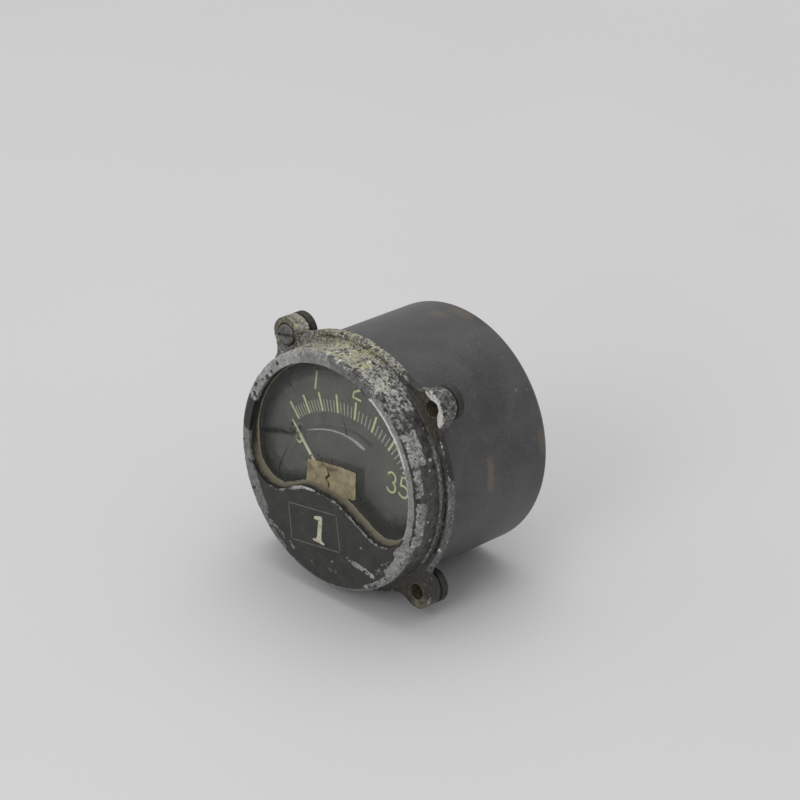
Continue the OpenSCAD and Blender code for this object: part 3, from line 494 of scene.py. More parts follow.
def film_material(name, colour, alpha, roughness=0.6):
    """Thin film or fracture seen through, fading towards its edges by the attribute fade."""
    material, n, shader, place = start_material(name)
    cloud = n.noise(place, 1.1, 4.0, 0.6, 0.3)
    n.join(n.mix(n.ramp(cloud, 0.35, 0.7), rgb(*colour), rgb(*(c * 0.6 for c in colour))),
           shader.inputs["Base Color"])
    cover = n.ramp(cloud, 0.3, 0.65, alpha * 0.5, alpha)
    n.join(n.times(cover, n.ramp(attribute(n, "fade"), 0.0, 0.7)), shader.inputs["Alpha"])
    roughen(n, shader, cloud, roughness, min(roughness + 0.2, 1.0))
    return material


def sealant_material():
    """Old sealant: dark and brown up the window's wall, tan where it meets the glass."""
    material, n, shader, place = start_material("Old sealing bead")
    mottle = n.noise(place, 0.8, 5.0, 0.68)
    fine = n.noise(place, 2.6, 3.0, 0.6)
    level = n.plus(attribute(n, "along"), n.times(n.minus(mottle, 0.5), 0.7))
    colour = n.mix(n.ramp(level, 0.3, 0.75), rgb(0.018, 0.016, 0.012), rgb(0.07, 0.057, 0.037))
    colour = n.mix(n.ramp(level, 0.72, 0.92), colour, rgb(0.26, 0.225, 0.145))
    pale = n.times(attribute(n, "pale"), n.ramp(level, 0.1, 0.45))
    colour = n.mix(n.times(pale, 0.8), colour, rgb(0.205, 0.188, 0.13))
    colour = n.mix(n.ramp(fine, 0.55, 0.75, 0.0, 0.4), colour, rgb(0.05, 0.042, 0.03))
    n.join(colour, shader.inputs["Base Color"])
    roughen(n, shader, fine, 0.7, 0.9)
    bump(n, shader, n.plus(mottle, n.times(fine, 0.5)), 0.06, 0.5)
    return material


def floor_material():
    """Pale matt table top with the faintest tooth."""
    material, n, shader, place = start_material("Pale floor")
    tooth = n.noise(place, 0.8, 3.0, 0.5)
    slow = n.noise(place, 0.004, 2.0, 0.5)
    n.join(n.mix(n.ramp(slow, 0.3, 0.7), rgb(0.655, 0.655, 0.662), rgb(0.68, 0.68, 0.687)),
           shader.inputs["Base Color"])
    roughen(n, shader, tooth, 0.55, 0.65)
    bump(n, shader, tooth, 0.02, 0.2)
    return material


# Layers of wear, dirt and painted shade stored on the bezel casting, in the order in which its material reads
# them
WEAR_LAYERS = ["bare", "oxide", "grime_and_shade", "tan", "crust", "bright", "dusty", "lining"]


def on_case(at, along):
    """The place on the case's side at this angle and distance along the axis."""
    return (CASE_R * math.cos(math.radians(at)), along, CASE_R * math.sin(math.radians(at)))


# Centre, reach and strength of each scuff on the case
SCUFFS = [
    (on_case(8, 18.7), (3, 1.5, 6.5), 0.8), ((1.6, 38.8, CASE_R), (6, 2.2, 3), 0.45),
    ((-2.5, 33.0, CASE_R), (3.5, 2.2, 2), 0.35), (on_case(14, 40.3), (2, 2.0, 7), 0.5),
]

BEZEL = bezel_material()
CRUMBS = crumb_material()
CASE = case_material()
PAPER = paper_material()
GLASS = glass_material("Cover glass", 0.05)
SCALE_PAINT = luminous_material("Luminous paint", (0.6, 0.58, 0.27), (0.38, 0.34, 0.14), 0.3)
MINOR_PAINT = luminous_material("Thin scale paint", (0.38, 0.375, 0.29), (0.22, 0.21, 0.15), 0.4)
POINTER_PAINT = luminous_material("Pointer paint", (0.7, 0.67, 0.43), (0.48, 0.43, 0.18), 0.3)
MASK_PAINT = luminous_material("Off-white mask paint", (0.58, 0.55, 0.44), (0.3, 0.26, 0.17), 0.45)
FAINT_PAINT = luminous_material("Faded line paint", (0.13, 0.135, 0.105), (0.05, 0.05, 0.045), 0.35)
DIAL = paint_material("Dial paint", (0.011, 0.0125, 0.005), (0.046, 0.0475, 0.0255), 0.78, 1.1, 0.5,
                      (0.11, 0.106, 0.066), 0.45)
PUTTY = sealant_material()
GREYED = paint_material("Greyed gasket", (0.032, 0.034, 0.026), (0.075, 0.078, 0.06), 0.75)
RUBBER = paint_material("Gasket rubber", (0.012, 0.012, 0.012), (0.03, 0.03, 0.03), 0.75)
WEATHERED = metal_material("Weathered screw steel", (0.2, 0.205, 0.19), (0.06, 0.055, 0.045), 0.5, 0.5,
                           worn=0.5)
DARK_STEEL = metal_material("Blackened steel", (0.06, 0.058, 0.055), (0.034, 0.029, 0.024), 0.45, 0.6,
                            worn=0.55)
PLATED = metal_material("Dull plated steel", (0.42, 0.42, 0.4), (0.2, 0.19, 0.17), 0.38, 0.85, worn=0.5)
BRASS = metal_material("Tarnished brass", (0.56, 0.4, 0.17), (0.2, 0.14, 0.07), 0.35, worn=0.5)
ALUMINIUM = metal_material("Plain aluminium", (0.6, 0.6, 0.6), (0.38, 0.38, 0.37), 0.4)
MAGNET = paint_material("Magnet lacquer", (0.12, 0.02, 0.016), (0.24, 0.04, 0.03), 0.5)
IRON = metal_material("Soft iron", (0.3, 0.3, 0.3), (0.16, 0.14, 0.12), 0.45)
COPPER = metal_material("Copper wire", (0.62, 0.26, 0.13), (0.3, 0.12, 0.06), 0.35)
BRONZE = metal_material("Spring bronze", (0.55, 0.33, 0.15), (0.3, 0.18, 0.09), 0.35)
BAKELITE = moulded_material("Brown moulding", (0.016, 0.011, 0.008), (0.05, 0.03, 0.02), 0.38)
FIBRE = moulded_material("Pressed fibre", (0.1, 0.07, 0.04), (0.2, 0.15, 0.09), 0.7)
MATERIAL_OF_SLOT = {
    "bezel_paint": BEZEL, "case_paint": CASE, "cover_glass": GLASS, "gasket_rubber": RUBBER,
    "plated_steel": PLATED, "label_paper": PAPER, "dial_paint": DIAL, "brass": BRASS,
    "aluminium": ALUMINIUM, "magnet_steel": MAGNET, "soft_iron": IRON, "copper_wire": COPPER,
    "pointer_paint": POINTER_PAINT, "spring_bronze": BRONZE, "bakelite": BAKELITE, "fibre": FIBRE,
    "dark_steel": DARK_STEEL,
}


# Building helpers


def cad_copy(node):
    """A merged copy of a CAD node in millimetres."""
    bm = bmesh.new()
    bm.from_mesh(frame["nodes"][node].data)
    bmesh.ops.scale(bm, vec=(1 / MM,) * 3, verts=bm.verts)
    bmesh.ops.remove_doubles(bm, verts=bm.verts, dist=0.001)
    return bm


def settle(piece, node=None, slot=None, material=None, sharp=40):
    """Shades a piece, gives it its material and hangs it on its node's body, or else on the case."""
    body = "case"
    if node:
        body = frame["nodes"][node]["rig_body"]
        slot = SLOT_OF[node]
    piece.data.materials.clear()
    piece.data.materials.append(material or MATERIAL_OF_SLOT[slot])
    piece.data.shade_smooth()
    piece.data.set_sharp_from_angle(angle=math.radians(sharp))
    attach(piece, body)
    if node:
        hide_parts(node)
    return piece


def new_piece(name, data):
    """A new object in the scene, for a mesh, a lamp or a camera."""
    piece = bpy.data.objects.new(name, data)
    bpy.context.scene.collection.objects.link(piece)
    return piece


def piece_from_bmesh(name, bm):
    """Makes an object of a bmesh in millimetres."""
    bmesh.ops.scale(bm, vec=(MM,) * 3, verts=bm.verts)
    mesh = bpy.data.meshes.new(name)
    bm.to_mesh(mesh)
    bm.free()
    return new_piece(name, mesh)


def piece_from_points(name, points, faces):
    """Makes an object of places in millimetres and the faces between them."""
    mesh = bpy.data.meshes.new(name)
    places = [tuple(p) for p in np.asarray(points, float) * MM]
    mesh.from_pydata(places, [], [tuple(map(int, f)) for f in faces])
    return new_piece(name, mesh)


def turn_outwards(piece):
    """Points the faces of a closed piece outwards."""
    bm = bmesh.new()
    bm.from_mesh(piece.data)
    bmesh.ops.recalc_face_normals(bm, faces=bm.faces)
    bm.to_mesh(piece.data)
    bm.free()
    return piece


def baked(piece):
    """Turns a piece's modifiers into plain mesh."""
    graph = bpy.context.evaluated_depsgraph_get()
    mesh = bpy.data.meshes.new_from_object(piece.evaluated_get(graph), preserve_all_data_layers=True,
                                           depsgraph=graph)
    piece.modifiers.clear()
    piece.data = mesh
    return piece


def thickened(piece, thickness):
    """Gives a flat piece this thickness, half of it on each side."""
    thick = piece.modifiers.new("Thickness", "SOLIDIFY")
    thick.thickness = thickness * MM
    thick.offset = 0
    return baked(piece)


def place_points(piece, points):
    """Puts the points of a piece that is still in millimetres at these places."""
    piece.data.vertices.foreach_set("co", points.astype(np.float32).ravel())
    piece.data.update()


def tube_faces(rows, size, first=0, closed=False):
    """Faces of a tube through rows of that many points each, with end faces unless it closes on itself."""
    faces = []
    for i in range(rows if closed else rows - 1):
        here, there = first + i * size, first + (i + 1) % rows * size
        for k in range(size):
            m = (k + 1) % size
            faces.append((here + k, here + m, there + m, there + k))
    if not closed:
        last = first + (rows - 1) * size
        faces += [tuple(range(first, first + size))[::-1], tuple(range(last, last + size))]
    return faces


def refined(node, bevel=0.06, material=None, sharp=40):
    """A smooth-shaded copy of a CAD node with its hard edges slightly broken."""
    bm = cad_copy(node)
    bmesh.ops.dissolve_limit(bm, angle_limit=math.radians(0.3), verts=bm.verts, edges=bm.edges)
    piece = piece_from_bmesh(node + "_finished", bm)
    if bevel:
        edge = piece.modifiers.new("Edges", "BEVEL")
        edge.width = bevel * MM
        edge.segments = 2
        edge.limit_method = "ANGLE"
        edge.angle_limit = math.radians(35)
        edge.harden_normals = False
        baked(piece)
    return settle(piece, node, material=material, sharp=sharp)


def fractal(points, scale, octaves=4, seed=0.0):
    """Fractal noise of about -1 to 1 at each point."""
    shift = Vector((seed * 7.3, seed * 3.1, seed * 5.7))
    return np.array([noise.fractal(Vector(p) * scale + shift, 0.7, 2.0, octaves) for p in points])


def band(value, low, high, soft):
    """1 between low and high, falling to 0 over the soft margin outside."""
    return np.clip((value - low) / soft + 1, 0, 1) * np.clip((high - value) / soft + 1, 0, 1)


def arc_band(angle, start, end, soft=6.0):
    """1 between two angles in degrees, counted anticlockwise from start to end."""
    middle = (start + end) / 2
    away = np.abs((angle - middle + 180) % 360 - 180)
    return np.clip(((end - start) / 2 - away) / soft + 1, 0, 1)


def near_line(x, z, path, reach):
    """1 on a polyline in the dial's plane, falling to 0 at the reach."""
    best = np.full(len(x), 1e9)
    for (ax, az), (bx, bz) in zip(path[:-1], path[1:]):
        dx, dz = bx - ax, bz - az
        share = np.clip(((x - ax) * dx + (z - az) * dz) / (dx * dx + dz * dz + 1e-9), 0, 1)
        best = np.minimum(best, np.hypot(x - ax - share * dx, z - az - share * dz))
    return np.clip(1 - best / reach, 0, 1)


def closed_line(ring):
    """The places of a ring, with the first one again at the end."""
    places = [tuple(p) for p in ring]
    return places + places[:1]


def blot(away, reach):
    """1 over the inner part of a round spot, falling to 0 at its reach."""
    return np.clip(1.6 - 1.6 * away / reach, 0, 1)


def set_attribute(mesh, name, values):
    """Stores a value from 0 to 1 at each point of a mesh, for its material."""
    layer = mesh.attributes.new(name, "FLOAT", "POINT")
    layer.data.foreach_set("value", np.clip(values, 0, 1).astype(np.float32))


# Bezel casting


# Size of the faces of the casting's fine mesh
FINE_MESH = 0.36


def fine_bezel():
    """The casting as an even fine mesh that keeps the CAD surface and its sharp edges."""
    bm = cad_copy("bezel_casting")
    surface = BVHTree.FromBMesh(bm)
    samples = []
    for edge in bm.edges:
        if len(edge.link_faces) == 2 and edge.calc_face_angle(0) > math.radians(35):
            a, b = edge.verts[0].co, edge.verts[1].co
            steps = max(1, int((b - a).length / (FINE_MESH / 3)))
            samples += [a.lerp(b, i / steps) for i in range(steps + 1)]
    edges = KDTree(len(samples))
    for i, p in enumerate(samples):
        edges.insert(p, i)
    edges.balance()
    piece = piece_from_bmesh("bezel_casting_worn", bm)
    piece.data.transform(Matrix.Scale(1 / MM, 4))
    remesh = piece.modifiers.new("Even mesh", "REMESH")
    remesh.mode = "VOXEL"
    remesh.voxel_size = FINE_MESH
    remesh.adaptivity = 0.0
    baked(piece)
    count = len(piece.data.vertices)
    points = np.empty(count * 3, np.float32)
    piece.data.vertices.foreach_get("co", points)
    points = points.reshape(-1, 3).astype(float)
    for i, p in enumerate(points):
        place, _, _, away = surface.find_nearest(p)
        if place is not None and away < FINE_MESH:
            sharp_place, _, sharp_away = edges.find(place)
            points[i] = sharp_place if sharp_away < 0.55 * FINE_MESH else place
    return piece, points


def round_out(points):
    """Moves points on the faceted CAD cylinders out to their true radii."""
    radius = np.hypot(points[:, 0], points[:, 2])
    for true in (BEZEL_R, FLANGE_R, WINDOW_R):
        near = np.abs(radius - true) < 0.045
        grow = np.where(near, true / np.maximum(radius, 1e-6), 1.0)
        points[:, 0] *= grow
        points[:, 2] *= grow
    return points


# Worn zones: start and end angle, lowest and highest radius, front and back, amount and brightness
WEAR_ZONES = [
    # Front ring: whole at the top and the upper left, in two bands down the right side
    (92, 116, 31.3, 36, -9.6, -7.9, 0.78, 0.5),
    (80, 94, 31.3, 36, -9.6, -7.9, 0.7, 0.28),
    (56, 82, 31.3, 36, -9.6, -7.9, 0.63, 0.2),
    (116, 163, 31.5, 36, -9.6, -7.9, 0.82, 0.72),
    (178, 204, 31.0, 36, -9.6, -7.9, 0.84, 0.36),
    (200, 222, 30.2, 36, -9.6, -7.9, 0.7, 0.32),
    (222, 244, 32.6, 36, -9.6, -8.4, 0.54, 0.32),
    (244, 300, 34.0, 36, -9.4, -8.4, 0.66, 0.34),
    (300, 322, 33.0, 36, -9.6, -8.2, 0.57, 0.5),
    (322, 346, 31.6, 36, -9.6, -8.0, 0.64, 0.5),
    (-14, 62, 31.3, 33.6, -9.6, -8.8, 0.7, 0.5),
    # A nearly white line along the window's edge down the right side: worn metal, with a painted highlight
    # along that ridge
    (24, 62, 31.2, 32.2, -9.6, -8.8, 1.0, 1.0),
    (-12, 24, 31.2, 31.7, -9.6, -8.8, 0.95, 0.8),
    (-14, 6, 34.2, 36, -9.0, -6.3, 0.6, 0.6),
    (12, 25, 34.2, 36, -9.0, -7.0, 0.58, 0.6),
    (26, 39, 34.2, 36, -9.0, -4.5, 0.62, 0.75),
    (40, 58, 33.6, 36, -9.6, -5.0, 0.45, 0.45),
    # Side of the bezel
    (78, 134, 34.6, 36, -8.2, 0.2, 0.8, 0.8),
    (62, 80, 34.6, 36, -8.2, -4.4, 0.64, 0.85),
    (62, 80, 34.6, 36, -4.0, 0.2, 0.5, 0.85),
    (50, 64, 34.6, 36, -8.2, 0.2, 0.49, 0.85),
    (38, 50, 34.6, 36, -8.2, 0.2, 0.34, 0.5),
    (134, 156, 34.6, 36, -8.2, 0.2, 0.44, 0.3),
    (-24, 38, 34.6, 36, -7.4, 0.2, 0.22, 0.6),
    (156, 336, 34.6, 36, -8.2, 0.2, 0.28, 0.4),
    (-34, 36, 34.9, 35.2, -0.8, -0.1, 0.6, 0.42),
    (139, 152, 36.4, 41.5, -0.4, 4.6, 0.66, 0.3),
    # Flange face and rim
    (64, 130, 35.2, 38.2, -0.2, 2.2, 0.56, 0.6),
    (-36, 14, 37.3, 38.4, -0.2, 2.2, 0.7, 0.2),
    (-2, 64, 37.6, 38.4, -0.2, 0.5, 0.48, 0.75),
    (130, 324, 37.3, 38.4, -0.2, 2.2, 0.44, 0.4),
]
# Flecks of black left on the front ring: angle, distance from the middle, reach
BLACK_FLECKS = [(131, 33.2, 0.8), (138, 32.2, 0.7), (143, 31.9, 1.0), (147, 32.6, 0.6), (153, 33.6, 0.9),
                (158, 32.4, 0.9), (161, 34.0, 0.9), (186, 34.2, 0.7), (197, 31.8, 0.8), (211, 33.0, 0.7)]
# Angle of the lug that still holds its screw
SCREW_LUG = 135
# Lugs: angle, amount of bare metal and its brightness, yellow bloom and brown dirt
LUG_WEAR = [(45, 0.52, 0.2, 0.15, 0.6), (SCREW_LUG, 0.62, 0.5, 0.75, 0.35), (225, 0.45, 0.35, 0.3, 0.4),
            (315, 0.32, 0.25, 0.1, 0.55)]
# Chipped places on the front face and the lugs: path across and up, reach, amount and brightness
FACE_CHIPS = [
    ([(10.4, -22.7), (13.7, -23.3)], 1.0, 0.62, 0.6),
    ([(13.0, -23.2), (16.8, -23.5), (20.2, -24.0)], 1.2, 0.55, 0.6),
    ([(20.0, -23.7), (20.4, -23.9)], 0.6, 0.8, 0.9),
    ([(-19.2, -12.6), (-17.4, -12.4)], 0.8, 0.6, 0.8),
    ([(-12.8, -9.9), (-9.8, -8.6)], 0.9, 0.8, 0.9),
    ([(-8.6, -8.3), (-4.8, -7.6)], 0.8, 0.8, 0.9),
    ([(27.8, -13.4), (31.2, -9.0)], 1.0, 0.6, 0.5),
    ([(28.6, -12.6), (31.0, -12.0)], 0.6, 0.7, 0.8),
    ([(-21.0, -24.3), (-18.0, -25.6), (-14.6, -27.2)], 0.9, 0.52, 0.35),
    ([(-12.5, -27.4), (-11.0, -28.8)], 0.8, 0.5, 0.4),
    ([(-28.4, -13.0), (-26.2, -16.0), (-25.0, -18.6)], 1.4, 0.45, 0.25),
    ([(4.5, -26.5), (4.9, -26.6)], 0.7, 0.6, 0.6),
    ([(14.8, -17.5), (15.2, -17.3)], 0.6, 0.55, 0.6),
    ([(-6.0, -30.4), (9.5, -28.9)], 1.2, 0.36, 0.3),
    ([(22.0, -21.5), (26.5, -17.5)], 2.0, 0.4, 0.4),
    ([(26.8, 32.6), (29.6, 30.9), (31.3, 28.2), (31.9, 25.0)], 1.6, 1.0, 1.0),
    ([(29.0, 32.6), (31.0, 31.4)], 0.8, 0.6, 0.7),
    ([(33.6, -28.6), (33.2, -30.4)], 0.7, 0.7, 0.5),
]
# Middle of the tan dirt on the lower right lug, across and up
TAN_END = (30.6, -32.0)
# Bare line along the mask's edge: from and to across, and its amount
EDGE_LINE = [(-22, -14, 0.42), (-13, -3, 0.6), (2.5, 24.5, 0.6), (-3, 2.5, 0.4)]
# Single chips on the side and flange: angle, distance along the axis, radius, reach and amount
SIDE_CHIPS = [
    (25.5, -2.6, BEZEL_R, 0.75, 0.95), (-14.4, -2.4, BEZEL_R, 0.7, 0.8), (21.0, -3.6, BEZEL_R, 0.5, 0.7),
    (-19.0, 0.1, 37.6, 1.1, 0.95), (118.2, 0.0, 36.4, 0.5, 0.9), (10.5, -4.2, BEZEL_R, 0.6, 0.6),
    (-3.0, -5.0, BEZEL_R, 0.8, 0.6), (31.0, -5.4, BEZEL_R, 1.0, 0.7), (-6.0, -3.0, BEZEL_R, 0.5, 0.7),
]


class BezelWear:
    """The layers of wear, dirt and painted shade on the casting, each from 0 to 1 at every one of its points.
    """

    def __init__(self, points, loop):
        self.points = points
        self.x, self.y, self.z = points.T
        self.radius = np.hypot(self.x, self.z)
        self.angle = np.degrees(np.arctan2(self.z, self.x))
        # The angle made ragged, for zones without a straight end
        self.torn = self.angle + 5 * fractal(points, 0.12, 3, 1.0)
        self.bright = np.full(len(points), 0.4)
        # Bare metal, chips that stay free of dirt, and tan dirt
        self.bare, self.clean, self.tan = np.zeros((3, len(points)))
        self.wear_zones()
        self.chip(loop)
        self.keep_black()
        self.lay_dirt()
        for lug in LUG_WEAR:
            self.wear_lug(*lug)
        self.lay_tan_end()
        self.darken_window_wall()
        self.grime_and_shade *= 1 - self.tan
        self.grime_and_shade *= 1 - self.clean

    def wear(self, amount, brightness):
        """Bares metal of this brightness where that wears it further than before."""
        self.bright = np.where(amount > self.bare, brightness, self.bright)
        self.bare = np.maximum(self.bare, amount)

    def away_from(self, at, along, r):
        """Distance from the place at this angle, distance along the axis and radius."""
        a = math.radians(at)
        across, up = self.x - r * math.cos(a), self.z - r * math.sin(a)
        return np.sqrt(across ** 2 + up ** 2 + (self.y - along) ** 2)

    def wear_zones(self):
        for start, end, r_low, r_high, y_low, y_high, amount, brightness in WEAR_ZONES:
            zone = arc_band(self.torn, start, end, 4.0) * band(self.radius, r_low, r_high, 0.4)
            self.wear(amount * zone * band(self.y, y_low, y_high, 0.8), brightness)

    def chip(self, loop):
        """Chips on the face, the lugs and the side, and a bare line along the mask's edge."""
        on_face = band(self.y, FRONT - 0.2, FRONT + 0.5, 0.3)
        on_lugs = band(self.y, -0.4, 0.5, 0.3)
        for path, reach, amount, brightness in FACE_CHIPS:
            face = on_face if math.hypot(*path[0]) < BEZEL_R else on_lugs
            spot = face * np.minimum(1, 2.2 * near_line(self.x, self.z, path, reach))
            self.wear(amount * spot, brightness)
            self.clean = np.maximum(self.clean, spot * (brightness > 0.8))
        by_edge = near_line(self.x, self.z, closed_line(loop), 1.6)
        for left, right, amount in EDGE_LINE:
            line = amount * on_face * band(self.x, left, right, 1.5) * (self.z < -5)
            self.wear(line * np.clip(3.2 * by_edge - 1.1, 0, 1), 0.5)
        for at, along, r, reach, amount in SIDE_CHIPS:
            self.wear(amount * blot(self.away_from(at, along, r), reach), 0.9)

    def keep_black(self):
        """Puts back the black on the upper left of the front ring, and the flecks of it above."""
        self.bare *= 1 - 0.85 * arc_band(self.angle, 163, 177, 2.5) * band(self.y, -9.7, -7.0, 0.5)
        ragged = 1 + 0.8 * fractal(self.points, 1.3, 3, 7.0)
        for at, r, reach in BLACK_FLECKS:
            self.bare *= 1 - 0.9 * blot(self.away_from(at, FRONT, r) * ragged, reach)

    def lay_dirt(self):
        """Oxide, crust, dust and grime on the side of the bezel and on the flange, with painted shade in the
        corner between them.
        """
        radius, y, angle, torn = self.radius, self.y, self.angle, self.torn
        outside = band(radius, 34.0, 46, 1.2) * band(y, -8.8, 4.0, 1.2)
        low_side = band(radius, 34.8, 46, 0.4) * band(y, -7.4, 4.0, 1.0)
        self.oxide = (0.95 * arc_band(torn, 82, 114, 10) + 0.35 * arc_band(torn, 60, 80, 12)) * low_side
        crust = np.maximum(arc_band(torn, 54, 98, 12), 0.5 * arc_band(torn, 98, 124, 12)) * outside
        crust = np.maximum(crust, 0.1 + 0.25 * outside)
        self.crust = np.maximum(crust, 0.6 * arc_band(angle, -24, 60, 6) * band(radius, 34.0, 36, 0.6))
        self.dusty = 0.8 * band(radius, 34.6, 37.0, 0.4) * band(y, -7.5, 0.4, 1.0)
        # Grime and painted shade lie in the corner between the bezel and its flange, fading away from the
        # corner, and less of both near the top
        near_top = arc_band(angle, 60, 130)
        in_corner = np.exp(-(np.abs(radius - BEZEL_R - 0.5) + np.abs(y)) / 1.1)
        on_flange = 0.3 * band(radius, 35.3, 37.2, 0.4) * band(y, -0.3, 1.6, 0.3)
        grime_and_shade = np.maximum(0.6 * in_corner * (1 - 0.6 * near_top), on_flange * (1 - 0.5 * near_top))
        # Brown dirt over the worn metal between the upper left lug and the top
        settled = arc_band(torn, 106, 134, 8) * band(radius, 34.9, 40, 0.5) * band(y, -7.0, 4.0, 1.0)
        self.grime_and_shade = np.maximum(grime_and_shade, 0.62 * settled)

    def wear_lug(self, at, bare_amount, brightness, oxide_amount, dirt_amount):
        """Wear on one lug, the dirt at its root and round its hole, and painted shade in its hole."""
        y = self.y
        hole_x, hole_z = LUG_AT * math.cos(math.radians(at)), LUG_AT * math.sin(math.radians(at))
        from_hole = np.hypot(self.x - hole_x, self.z - hole_z)
        lug = np.clip((self.radius - 38.3) / 0.8, 0, 1) * arc_band(self.angle, at - 14, at + 14, 3)
        self.wear(bare_amount * lug, brightness)
        self.oxide = np.maximum(self.oxide, oxide_amount * lug)
        self.crust = np.maximum(self.crust, 0.5 * lug)
        face = band(y, -0.4, 0.6, 0.5)
        root = face * band(self.radius, 35.3, 40.5, 0.8) * arc_band(self.angle, at - 10, at + 10, 4)
        dirty = dirt_amount * np.maximum(root, face * band(from_hole, 0, 3.1, 0.8))
        if dirt_amount > 0.5:
            # Brown dirt has settled where these lugs spring from the flange
            self.bare *= 1 - 0.75 * root * (1 - self.clean)
        # The inside of the hole is darkened through the grime layer: painted shade in that recess
        in_hole = 0.95 * band(from_hole, 0, 2.6, 0.3) * band(y, -0.5, 4.6, 0.3)
        self.grime_and_shade = np.maximum(np.maximum(self.grime_and_shade, dirty), in_hole)
        if at == SCREW_LUG:
            # Brown dirt caught round the screw
            caught = band(y, -0.4, 1.4, 0.6) * band(from_hole, 2.4, 4.6, 0.7)
            caught *= (self.z > hole_z - 1.5) * (self.x < hole_x + 2.5)
            self.tan = np.maximum(self.tan, 0.75 * caught)
            self.bare *= 1 - 0.8 * caught

    def lay_tan_end(self):
        """Tan dirt on the end of the lower right lug."""
        away = np.sqrt((self.x - TAN_END[0]) ** 2 + (self.z - TAN_END[1]) ** 2 + (self.y * 0.5) ** 2)
        patchy = np.clip(fractal(self.points, 0.7, 3, 4.0) + 0.9, 0, 1)
        self.tan = np.maximum(self.tan, np.clip(1.6 - away / 2.6, 0, 1) * patchy)

    def darken_window_wall(self):
        """The window's wall is dark in front of the glass, black paint with grime that is painted shade in
        that recess, and behind the glass it is painted as grey as the dial.
        """
        radius, y = self.radius, self.y
        ragged = 0.5 * fractal(self.points, 0.5, 3, 8.0)
        front = FRONT + 0.5 + 1.1 * arc_band(self.angle, 112, 215, 8) + ragged
        wall = np.clip((WINDOW_R + 0.35 - radius) / 0.3, 0, 1) * band(y, front, GLASS_FRONT + 0.2, 0.4)
        # In front of the glass the wall keeps its black paint and gets grime: painted shade in the recess
        self.bare *= 1 - wall * 0.9
        self.grime_and_shade = np.maximum(self.grime_and_shade, wall * 0.5)
        self.lining = np.clip((33.9 - radius) / 0.2, 0, 1) * np.clip((y - GLASS_FRONT - 0.2) / 0.3, 0, 1)


# Where the mask's edge is lifted: its middle across, how far the lift reaches, and how high it is
LIFT_AT = -10.5
LIFT_REACH = 8.5
LIFT_BY = 1.15


def edge_raised(points):
    """Lifts the mask's edge a little on the left of its hump, where the real one stands higher."""
    away = np.clip(np.abs(points[:, 0] - LIFT_AT) / LIFT_REACH, 0, 1)
    return LIFT_BY * np.cos(away * math.pi / 2) ** 2 * (points[:, -1] < 0)


def worn_bezel(loop):
    """The casting with crusted, pitted and nicked surfaces, and its wear, dirt and painted shade stored as
    attributes.
    """
    piece, points = fine_bezel()
    points = round_out(points)
    by_edge = near_line(points[:, 0], points[:, 2], closed_line(loop), 3.0)
    points[:, 2] += edge_raised(points) * by_edge * band(points[:, 1], FRONT - 0.1, GLASS_FRONT + 0.1, 0.1)
    place_points(piece, points)
    normals = np.empty(len(points) * 3, np.float32)
    piece.data.vertices.foreach_get("normal", normals)
    worn = BezelWear(points, loop + np.column_stack([np.zeros(len(loop)), edge_raised(loop)]))
    pitted = fractal(points, 0.9, 4, 2.0)
    nicks = np.clip(fractal(points, 0.33, 3, 3.0) - 0.12, 0, 1)
    edges = np.maximum(band(worn.radius, 34.0, 36, 0.6) * band(worn.y, -9.6, -8.2, 0.6),
                       band(worn.radius, 37.3, 38.5, 0.5) * band(worn.y, -0.3, 1.2, 0.5))
    lift = worn.bare * (0.06 * pitted * (1 + 3.8 * worn.crust) - 0.03) - 0.5 * nicks * edges * worn.bare
    lift += 0.008 * fractal(points, 0.4, 3, 5.0)
    lift += 0.12 * worn.tan * np.clip(fractal(points, 0.8, 3, 6.0) + 0.3, 0, 1)
    points = points + normals.reshape(-1, 3) * lift[:, None]
    place_points(piece, points)
    for name in WEAR_LAYERS:
        set_attribute(piece.data, name, getattr(worn, name))
    # Loose grains lie on the side and the flange near the top
    angle = np.degrees(np.arctan2(points[:, 2], points[:, 0]))
    crumbs = band(worn.radius, 34.2, 46, 0.4) * band(points[:, 1], -9.0, 4.0, 0.6)
    crumbs = crumbs * arc_band(angle, 74, 126, 14)
    set_attribute(piece.data, "crumbs", crumbs * np.clip(1.6 * pitted + 0.3, 0, 1))
    piece.data.transform(Matrix.Scale(MM, 4))
    return piece


# Loose corrosion grains: how many on a square metre, smallest and largest size, and seed
GRAIN_DENSITY = 3.0e6
GRAIN_SIZES = (0.1, 0.26)
GRAIN_SEED = 7


def finish_tree(n, pieces, material, out):
    """Ends a geometry tree: its instances are made real and get their material."""
    real = n.add("GeometryNodeRealizeInstances", {0: pieces.outputs[0]})
    finished = n.add("GeometryNodeSetMaterial", {"Geometry": real.outputs[0], "Material": material})
    n.join(finished.outputs[0], out["Geometry"])
    return n.tree


